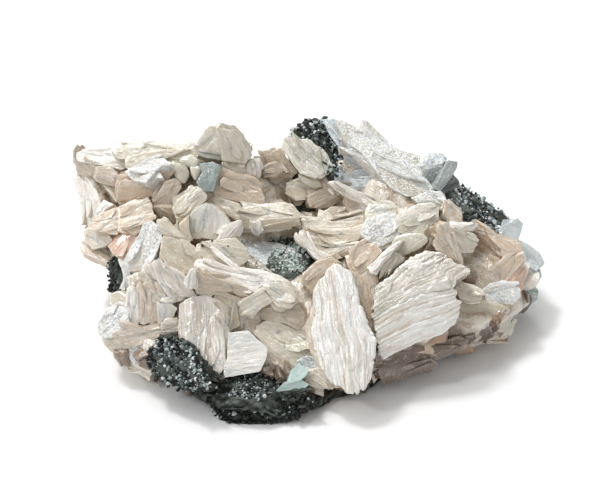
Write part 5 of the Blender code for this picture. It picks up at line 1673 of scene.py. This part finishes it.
@dataclass
class Rock(Piece):
    """The basalt under the crystals."""

    name: str = "basalt_rock"
    slot: str = "basalt"
    node: str = BASALT
    smooth_angle: float = 80.0
    steps: int = 300
    rings: int = 60
    seed: int = 2600
    light: Colour = (110, 116, 110)
    shade: Colour = (8, 9, 7)

    def shells(self) -> list[Shell]:
        """The rock: a mound with lumps and granules."""
        points, _ = ROCK_MOUND.surface(self.steps, self.rings)
        lumps = rough(points / 4.0, self.seed, 2)
        granules = 1 - 2 * np.abs(rough(points / 1.3, self.seed + 5, 2))
        fine = rough(points / 0.6, self.seed + 9, 2)
        relief = 0.8 * lumps + 0.4 * granules + 0.25 * fine - 0.4
        blend = np.clip(0.45 + 0.5 * granules + 0.4 * fine, 0, 1)[..., None] ** 3
        light, shade = linear(self.light), linear(self.shade)
        tint = shade + (light - shade) * blend
        frost = np.clip(0.1 + 0.4 * fine, 0, 1)
        return [mound_shell(ROCK_MOUND, self.steps, self.rings, relief, tint, frost, "rock")]


@dataclass
class RockLumps(CrystalGroup):
    """Lumps of rock that rise between the crystals: behind, on the right and at the front."""

    name: str = "rock_lumps"
    seed: int = 2650
    slot: str = "basalt"
    node: str = BASALT
    crystals: tuple[Crystal, ...] = (
        Crystal("rear_lump", Look.ROCKY, 31.5, (0.1, -0.45, 0.88), spots(
            293, 128, 304, 121, 318, 118, 330, 120, 338, 134, 344, 152, 346, 172, 334, 178, 322, 164,
            310, 146), 8, 60),
        Crystal("hollow_floor", Look.ROCKY, 19, (0, -0.3, 0.95), spots(
            284, 184, 330, 180, 346, 190, 340, 206, 290, 208), 4, 0),
        Crystal("slope_lump", Look.ROCKY, 21, (0.35, -0.3, 0.88), spots(
            450, 188, 461, 184, 476, 194, 492, 206, 507, 216, 510, 226, 498, 232, 480, 226, 464, 214,
            450, 202), 7, -30),
        Crystal("left_lobe", Look.ROCKY, 11, (-0.35, -0.6, 0.72), spots(
            149, 350, 157, 339, 172, 335, 184, 338, 196, 352, 207, 372, 212, 388, 196, 390, 176, 386,
            158, 378, 148, 364), 8, -40),
        Crystal("front_lobe", Look.ROCKY, 3.4, (-0.1, -0.75, 0.66), spots(
            206, 392, 222, 382, 250, 388, 282, 394, 308, 392, 322, 402, 304, 412, 284, 422, 258, 428,
            228, 424, 210, 410), 6, 0),
        Crystal("left_patch", Look.ROCKY, 12, (-0.75, -0.5, 0.4), spots(
            107, 262, 113, 256, 121, 264, 128, 280, 126, 296, 116, 302, 109, 286), streak=90),
    )


@dataclass(frozen=True)
class Zone:
    """A part of the ground, outlined in the picture, and the grains that cover it.

    With a carrier, the grains lie on that crystal's face, and all over it if no outline is given.
    """

    name: str
    count: int
    size: tuple[float, float]
    colours: tuple[Colour, ...]
    carrier: str = ""
    outline: tuple[Pixel, ...] = ()
    paint: str = "grains"
    frost: float = 0.1

    def shell(self, carriers: dict[str, Crystal], seed: int) -> Shell:
        """The grains as one surface."""
        rng = np.random.default_rng(seed)
        zone = np.array(self.outline or carriers[self.carrier].seen, float)
        seen = rng.uniform(zone.min(axis=0), zone.max(axis=0), (self.count, 2))
        seen = seen[inside(zone, seen)]
        if self.carrier:
            anchor, normal = carriers[self.carrier].plane()
            places = SIGHT.on_plane(seen, anchor, normal) + normal * 0.4
        else:
            places = seen_ground(seen)
        axes = rng.normal(0, 1, places.shape)
        axes /= np.linalg.norm(axes, axis=1, keepdims=True)
        size = rng.uniform(0, 1, len(places))[:, None] ** 2
        size = self.size[0] + (self.size[1] - self.size[0]) * size
        sizes = size * rng.uniform(0.4, 1.5, (len(places), 3))
        places = places - [0, 0, 0.2] + rng.normal(0, 0.25, places.shape)
        places = np.clip(places, np.add(BOX[0], BOX_MARGIN), np.subtract(BOX[1], BOX_MARGIN))
        palette = np.array([linear(colour) for colour in self.colours])
        tints = palette[rng.integers(0, len(palette), len(places))]
        return nugget().strew(places, turn_frames(axes, rng), sizes, tints, self.frost, self.paint)


BLACKS = ((8, 9, 7), (12, 13, 11), (20, 22, 19), (34, 38, 34), (10, 11, 9))
GREYS = ((96, 106, 104), (64, 72, 68), (150, 162, 162), (34, 38, 35))
PALES = ((206, 216, 217), (232, 236, 236), (186, 200, 200), (140, 152, 152))
PALE_GREENS = ((196, 212, 206), (222, 230, 227), (170, 190, 184))
BROWNS = ((110, 88, 66), (80, 62, 46), (60, 48, 36))


@dataclass
class Grains(Piece):
    """The grains of the rock and of the druse in the middle."""

    groups: list[CrystalGroup]
    name: str = "rock_grains"
    slot: str = "basalt"
    node: str = BASALT
    smooth_angle: float = 20.0
    seed: int = 2700
    zones: tuple[Zone, ...] = (
        Zone("left_lobe", 1500, (0.4, 1.3), BLACKS + GREYS * 2 + PALES, "left_lobe"),
        Zone("left_frost", 500, (0.3, 0.9), PALES * 2 + GREYS[:2], "left_lobe", spots(
            180, 342, 190, 346, 202, 366, 210, 386, 198, 386, 186, 366)),
        Zone("left_lobe_rim", 90, (0.5, 1.4), BROWNS + BLACKS, "left_lobe", spots(
            150, 366, 160, 376, 180, 384, 204, 390, 200, 396, 176, 390, 156, 382)),
        Zone("front_lobe", 1100, (0.4, 1.4), BLACKS * 5 + GREYS + PALES[:1], "front_lobe"),
        Zone("front_frost", 900, (0.3, 0.9), PALES + GREYS + BLACKS, outline=spots(
            214, 380, 240, 372, 262, 372, 286, 386, 282, 396, 250, 398, 228, 394)),
        Zone("rear_rock", 1000, (0.4, 1.2), BLACKS + GREYS * 2 + PALES, "rear_lump"),
        Zone("rear_pale", 600, (0.3, 1.1), PALES + GREYS, "rear_lump", spots(
            318, 120, 332, 122, 342, 140, 350, 160, 346, 176, 336, 176, 334, 156, 326, 136)),
        Zone("rear_frost", 420, (0.3, 1.0), PALES + PALES + GREYS, "rear_lump", spots(
            318, 118, 332, 120, 352, 134, 362, 150, 352, 160, 336, 148, 324, 132)),
        Zone("rear_pocket", 260, (0.4, 1.0), PALES, outline=spots(
            340, 120, 356, 134, 376, 152, 384, 168, 366, 168, 346, 156, 334, 138)),
        Zone("right_slope", 1500, (0.4, 1.3), GREYS + PALES, "slope_lump"),
        Zone("right_foot", 700, (0.4, 1.2), GREYS * 2 + PALES + BLACKS[:1], outline=spots(
            452, 198, 466, 196, 484, 206, 500, 222, 494, 236, 474, 228, 458, 214)),
        Zone("left_patch", 260, (0.4, 1.1), BLACKS * 2 + GREYS, "left_patch"),
        Zone("druse", 1800, (0.3, 1.0), PALES[:3] + PALE_GREENS * 3, outline=spots(
            238, 240, 262, 234, 300, 238, 312, 252, 304, 268, 280, 274, 252, 270, 240, 256)),
        # Dark grains along the druse's upper edge: its own dark patches, and painted shade under the long
        # plate
        Zone("druse_dark", 200, (0.4, 1.0), GREYS + BLACKS, outline=spots(
            246, 238, 280, 234, 296, 242, 284, 250, 258, 248)),
        # Brown grains along the front foot: painted shade on the underside where it meets the table
        Zone("base_band", 300, (0.5, 1.1), BROWNS, outline=spots(
            300, 388, 330, 392, 370, 388, 374, 400, 330, 402, 306, 400)),
    )

    def shells(self) -> list[Shell]:
        """All the grains, one surface for each zone."""
        carriers = {one.name: one for group in self.groups for one in group.crystals}
        return [zone.shell(carriers, self.seed + i) for i, zone in enumerate(self.zones)]


@dataclass
class Specks(Piece):
    """Black grains that lie on a crystal, at places in the picture."""

    groups: list[CrystalGroup]
    name: str = "black_specks"
    slot: str = "basalt"
    smooth_angle: float = 20.0
    carrier: str = "grey_plate"
    seed: int = 2800
    size: float = 0.7
    colour: Colour = (24, 22, 20)
    places: tuple[Pixel, ...] = spots(202, 245, 212, 240, 228, 246)

    def shells(self) -> list[Shell]:
        """The grains, on their crystal's face."""
        rng = np.random.default_rng(self.seed)
        found = [one for group in self.groups for one in group.crystals if one.name == self.carrier]
        anchor, normal = found[0].plane()
        places = SIGHT.on_plane(np.array(self.places, float), anchor, normal)
        axes = np.tile(normal, (len(places), 1))
        sizes = np.full((len(places), 3), self.size) * rng.uniform(0.7, 1.2, (len(places), 3))
        tints = np.tile(linear(self.colour), (len(places), 1))
        return [nugget().strew(places, turn_frames(axes, rng), sizes, tints, 0.0, "grains")]


# Materials


class Wiring:
    """The nodes of one tree in the making."""

    def __init__(self, tree: bpy.types.NodeTree) -> None:
        """Starts on a tree."""
        self.tree = tree

    def feed(self, node: bpy.types.Node, feeds: dict[Union[str, int], object]) -> None:
        """Wires sockets and sets values to a node's inputs, by their name or number."""
        for title, value in feeds.items():
            if isinstance(value, bpy.types.NodeSocket):
                self.tree.links.new(value, node.inputs[title])
            else:
                node.inputs[title].default_value = value

    def add(self, kind: str, feeds: dict[Union[str, int], object], **settings: object
            ) -> bpy.types.NodeOutputs:
        """Adds a node.

        Args:
            kind: Its type, without ShaderNode.
            feeds: What goes into its inputs.
            settings: Its properties.

        Returns:
            Its outputs.
        """
        made = self.tree.nodes.new("ShaderNode" + kind)
        for title, value in settings.items():
            setattr(made, title, value)
        self.feed(made, feeds)
        return made.outputs

    def math(self, operation: str, *feeds: object) -> bpy.types.NodeSocket:
        """Result of a Math node."""
        return self.add("Math", dict(enumerate(feeds)), operation=operation)["Value"]

    def vector(self, operation: str, *feeds: object) -> bpy.types.NodeSocket:
        """Result of a Vector Math node."""
        return self.add("VectorMath", dict(enumerate(feeds)), operation=operation)["Vector"]

    def scaled(self, vector: bpy.types.NodeSocket, scale: bpy.types.NodeSocket
               ) -> bpy.types.NodeSocket:
        """A vector times a number."""
        return self.add("VectorMath", {0: vector, "Scale": scale}, operation="SCALE")["Vector"]


class Group(Wiring):
    """A shader node group in the making."""

    def __init__(self, name: str, inputs: dict[str, Optional[float]], **outputs: str) -> None:
        """Starts a group with its sockets.

        Args:
            name: The group's name.
            inputs: Value of each input that is a number, and None for each vector.
            outputs: Kind of each output, Float or Vector.
        """
        super().__init__(bpy.data.node_groups.new(name, "ShaderNodeTree"))
        sockets = self.tree.interface
        for title, value in inputs.items():
            kind = "NodeSocketVector" if value is None else "NodeSocketFloat"
            socket = sockets.new_socket(title, in_out="INPUT", socket_type=kind)
            if value is not None:
                socket.default_value = value
        for title, kind in outputs.items():
            sockets.new_socket(title, in_out="OUTPUT", socket_type="NodeSocket" + kind)
        self.given = self.tree.nodes.new("NodeGroupInput").outputs
        self.end = self.tree.nodes.new("NodeGroupOutput")

    def drawn_out(self) -> bpy.types.NodeSocket:
        """The vector given to the group, scaled across and along a crystal."""
        across = self.given["Across"]
        scale = self.add("CombineXYZ", {"X": across, "Y": self.given["Along"], "Z": across})
        return self.vector("MULTIPLY", self.given["Vector"], scale["Vector"])


class Paint(Wiring):
    """A material in the making: a Principled shader and the nodes that feed it."""

    def __init__(self, name: str) -> None:
        """Starts a material with a name."""
        self.material = bpy.data.materials.new(name)
        self.material.use_nodes = True
        super().__init__(self.material.node_tree)
        self.shader = self.tree.nodes["Principled BSDF"]

    def own(self, name: str) -> bpy.types.NodeOutputs:
        """One of the mesh's attributes."""
        return self.add("Attribute", {}, attribute_name=name)

    def mixed(self, share: bpy.types.NodeSocket, colour: bpy.types.NodeSocket,
              other: Colour) -> bpy.types.NodeSocket:
        """A colour with a share of another one, given as 0 to 255."""
        feeds = {"Factor": share, "A": colour, "B": (*linear(other), 1)}
        return self.add("Mix", feeds, data_type="RGBA")["Result"]


def fibre_group() -> bpy.types.NodeTree:
    """Fine fibres: noise drawn out along the crystal, as a mask from 0 to 1."""
    group = Group("fibres", {"Vector": None, "Across": 3.4, "Along": 0.18}, Mask="Float")
    noise = group.add("TexNoise", {"Vector": group.drawn_out(), "Scale": 1.0, "Detail": 4.0,
                                   "Roughness": 0.6})
    group.feed(group.end, {"Mask": noise["Fac"]})
    return group.tree


def sugar_group() -> bpy.types.NodeTree:
    """Sugary cover: fine noise over coarse noise, cut off by how much cover there is."""
    group = Group("sugar", {"Vector": None, "Amount": 0.5, "Scale": 2400.0},
                  Mask="Float", Height="Float")
    place = {"Vector": group.given["Vector"]}
    fine = group.add("TexNoise", {**place, "Scale": group.given["Scale"], "Detail": 5.0,
                                  "Roughness": 0.75})["Fac"]
    coarse = group.add("TexNoise", {**place, "Scale": 620.0, "Detail": 3.0})["Fac"]
    both = group.math("MULTIPLY_ADD", coarse, 0.6, fine)
    cover = group.math("MULTIPLY_ADD", group.given["Amount"], 1.2, both)
    mask = group.add("MapRange", {"Value": cover, "From Min": 1.12, "From Max": 1.45})
    cells = group.add("TexVoronoi", {**place, "Scale": 1500.0})
    height = group.math("ADD", fine, cells["Distance"])
    group.feed(group.end, {"Mask": mask["Result"], "Height": height})
    return group.tree


def sparkle_group() -> bpy.types.NodeTree:
    """Tiny facets: in each small cell, long or short, the normal leans the same random way."""
    group = Group("sparkle", {"Vector": None, "Normal": None, "Lean": 0.4, "Across": 4.2,
                              "Along": 0.7}, Normal="Vector")
    cells = group.add("TexVoronoi", {"Vector": group.drawn_out(), "Scale": 1.0})
    centred = group.vector("SUBTRACT", cells["Color"], (0.5, 0.5, 0.5))
    leaned = group.scaled(centred, group.given["Lean"])
    added = group.vector("ADD", group.given["Normal"], leaned)
    group.feed(group.end, {"Normal": group.vector("NORMALIZE", added)})
    return group.tree


@dataclass(frozen=True)
class Gloss:
    """What a kind of surface does with light.

    Attributes:
        smooth: Roughness where it is bare.
        matt: Roughness where it is frosted.
        coat: Weight of its clear coat.
        scatter: Weight of the light that wanders under its surface.
        clear: Weight of the light that goes through.
        bump: Height of its fine relief, in millimetres.
        ior: Index of refraction.
        cover: How much of its colour the frost hides.
        shine: Level of its mirror light.
        lean: How far its tiny facets lean.
        along: How many facets there are to a millimetre along the fibres.
        rime: Colour of its frost.
    """

    smooth: float
    matt: float
    coat: float = 0.0
    scatter: float = 0.0
    clear: float = 0.0
    bump: float = 0.12
    ior: float = 1.5
    cover: float = 0.7
    shine: float = 0.9
    lean: float = 0.5
    along: float = 0.7
    rime: Colour = (245, 239, 230)


COLD_RIME = (238, 241, 241)
# Colour of the rims' painted highlight
RIM_HIGHLIGHT_COLOUR = (240, 241, 237)
GLOSSES = {
    "pearl": Gloss(0.13, 0.28, 0.8, 0.4, bump=0.14, lean=0.6, along=0.35),
    "satin": Gloss(0.13, 0.28, 0.8, 0.5, bump=0.12, lean=0.55),
    "sugar": Gloss(0.2, 0.36, 0.4, 0.4, bump=0.2, lean=1.0, along=2.5, rime=COLD_RIME),
    "waxy": Gloss(0.12, 0.3, 0.8, 0.5, bump=0.1, lean=0.4),
    "glaze": Gloss(0.1, 0.3, 0.8, 0.5, bump=0.1, lean=0.4),
    "mint": Gloss(0.1, 0.4, 0.4, 0.4, 0.15, ior=1.53, lean=0.2, rime=COLD_RIME),
    "clear": Gloss(0.06, 0.4, 0.3, 0.3, 0.35, ior=1.53, lean=0.15, rime=COLD_RIME),
    "grains": Gloss(0.35, 0.6, shine=0.3, bump=0.1, lean=0.3, cover=0.08, rime=COLD_RIME),
    "rock": Gloss(0.5, 0.7, bump=0.3, cover=0.04, shine=0.2, lean=0.6, rime=COLD_RIME),
}


def crystal_paint(name: str, gloss: Gloss, fibres: bpy.types.NodeTree,
                  sugar: bpy.types.NodeTree, sparkle: bpy.types.NodeTree) -> bpy.types.Material:
    """Material of a kind of crystal: its tint, with fibres and sugary cover, and with pale rims and ridge
    streaks painted as highlights.

    Args:
        name: Name of the material.
        gloss: What it does with light.
        fibres: The group of fine fibres.
        sugar: The group of sugary cover.
        sparkle: The group of tiny facets.

    Returns:
        The material.
    """
    paint = Paint(name)
    grain = {"Vector": paint.own("grain")["Vector"]}
    frost_and_sheen = paint.add("SeparateXYZ", {"Vector": paint.own("frost_and_sheen")["Vector"]})
    threads = paint.add("Group", grain, node_tree=fibres)["Mask"]
    # Frost cover, with white streaks added on the thread ridges as painted highlight
    amount = paint.math("MULTIPLY_ADD", frost_and_sheen["Z"], 0.3, frost_and_sheen["X"])
    place = paint.add("TexCoord", {})["Object"]
    cover = paint.add("Group", {"Vector": place, "Amount": amount}, node_tree=sugar)
    spread = paint.add("MapRange", {"Value": threads, "From Min": 0.3, "From Max": 0.7,
                                    "To Min": 0.86, "To Max": 1.1})
    threaded = paint.scaled(paint.own("tint")["Color"], spread["Result"])
    share = paint.math("MULTIPLY", cover["Mask"], gloss.cover)
    frosted = paint.mixed(share, threaded, gloss.rime)
    dull = paint.add("MapRange", {"Value": cover["Mask"], "To Min": gloss.smooth,
                                  "To Max": gloss.matt})
    height = paint.math("MULTIPLY_ADD", threads, 0.8, cover["Height"])
    bump = paint.add("Bump", {"Strength": 0.6, "Distance": gloss.bump * MM, "Height": height})
    facets = paint.add("Group", {**grain, "Normal": bump["Normal"], "Lean": gloss.lean,
                                 "Along": gloss.along}, node_tree=sparkle)
    paint.feed(paint.shader, {
        # The rims' painted highlight over the frosted tint
        "Base Color": paint.mixed(frost_and_sheen["Y"], frosted, RIM_HIGHLIGHT_COLOUR),
        "Roughness": dull["Result"],
        "Normal": facets["Normal"],
        "IOR": gloss.ior,
        "Coat Weight": gloss.coat,
        "Coat Roughness": 0.08,
        "Subsurface Weight": gloss.scatter,
        "Subsurface Radius": (1.0, 0.85, 0.7),
        "Subsurface Scale": 0.3 * MM,
        "Transmission Weight": gloss.clear,
        "Specular IOR Level": gloss.shine,
    })
    return paint.material


def all_paints() -> Paints:
    """The specimen's materials by name."""
    fibres, sugar, sparkle = fibre_group(), sugar_group(), sparkle_group()
    return {name: crystal_paint(name, gloss, fibres, sugar, sparkle)
            for name, gloss in GLOSSES.items()}


# Studio


@dataclass
class Studio:
    """Pale floor, soft light and the viewer's camera."""

    floor_side: float = 6.0
    lens: float = 120.0
    sensor: float = 36.0
    near: float = 0.01
    sky: float = 0.5
    key: float = 0.92
    glint: float = 1.25
    sun_turn: tuple[float, float] = (-0.4, -0.42)

    def floor(self) -> Thing:
        """Makes the pale floor."""
        side = self.floor_side / 2
        mesh = bpy.data.meshes.new("studio_floor")
        mesh.from_pydata([(-side, -side, 0), (side, -side, 0), (side, side, 0), (-side, side, 0)],
                         [], [(0, 1, 2, 3)])
        thing = bpy.data.objects.new("studio_floor", mesh)
        bpy.context.scene.collection.objects.link(thing)
        paint = Paint("studio_floor")
        noise = paint.add("TexNoise", {"Scale": 30.0})["Fac"]
        tone = paint.add("MapRange", {"Value": noise, "To Min": 0.9, "To Max": 0.93})["Result"]
        paint.feed(paint.shader, {"Base Color": tone, "Roughness": 0.9,
                                  "Specular IOR Level": 0.1})
        mesh.materials.append(paint.material)
        return thing

    def lights(self) -> None:
        """Makes the sky's even light, the soft main light and three narrow glints."""
        world = bpy.data.worlds.new("studio")
        world.use_nodes = True
        world.node_tree.nodes["Background"].inputs["Color"].default_value = (1, 1, 1, 1)
        world.node_tree.nodes["Background"].inputs["Strength"].default_value = self.sky
        bpy.context.scene.world = world
        for name, power, spread, turn in (
            ("main_light", self.key, 50, self.sun_turn),
            ("left_glint", self.glint, 10, self.sun_turn),
            ("rear_glint", self.glint * 0.6, 10, (-0.95, -0.1)),
            ("side_glint", self.glint * 0.5, 10, (0.15, -0.75)),
        ):
            sun = bpy.data.lights.new(name, "SUN")
            sun.energy = power
            sun.angle = math.radians(spread)
            lamp = bpy.data.objects.new(name, sun)
            lamp.rotation_euler = (turn[0], turn[1], 0)
            bpy.context.scene.collection.objects.link(lamp)

    def camera(self) -> None:
        """Makes the viewer's camera."""
        lens = bpy.data.cameras.new("viewer")
        lens.lens = self.lens
        lens.sensor_width = self.sensor
        lens.clip_start = self.near
        thing = bpy.data.objects.new("viewer", lens)
        eye = Vector(SIGHT.eye * MM)
        thing.location = eye
        way = Vector(np.array(SIGHT.aim) * MM) - eye
        thing.rotation_euler = way.to_track_quat("-Z", "Y").to_euler()
        bpy.context.scene.collection.objects.link(thing)
        bpy.context.scene.camera = thing

    def build(self) -> None:
        """Makes the whole studio."""
        self.floor()
        self.lights()
        self.camera()
        bpy.context.scene.view_settings.view_transform = "Standard"


def main() -> None:
    """Builds the specimen's pieces in order, and the studio round them."""
    logging.basicConfig(level=logging.INFO, format="%(message)s")
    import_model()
    paints = all_paints()
    groups = [LeftRim(), Pyramid(), Hollow(), RearRidge(), RightRim(), Fan(), Middle(), Sheaf(),
              Shelf(), LeftRays(), LowerLeft(), FrontBooks(), BackBlades(), RockLumps(),
              *guest_groups()]
    for piece in (*groups, StilbiteBed(), SideBlades(), Rock(), Grains(groups), Specks(groups)):
        piece.build(paints)
    Studio().build()


if __name__ == "__main__":
    main()
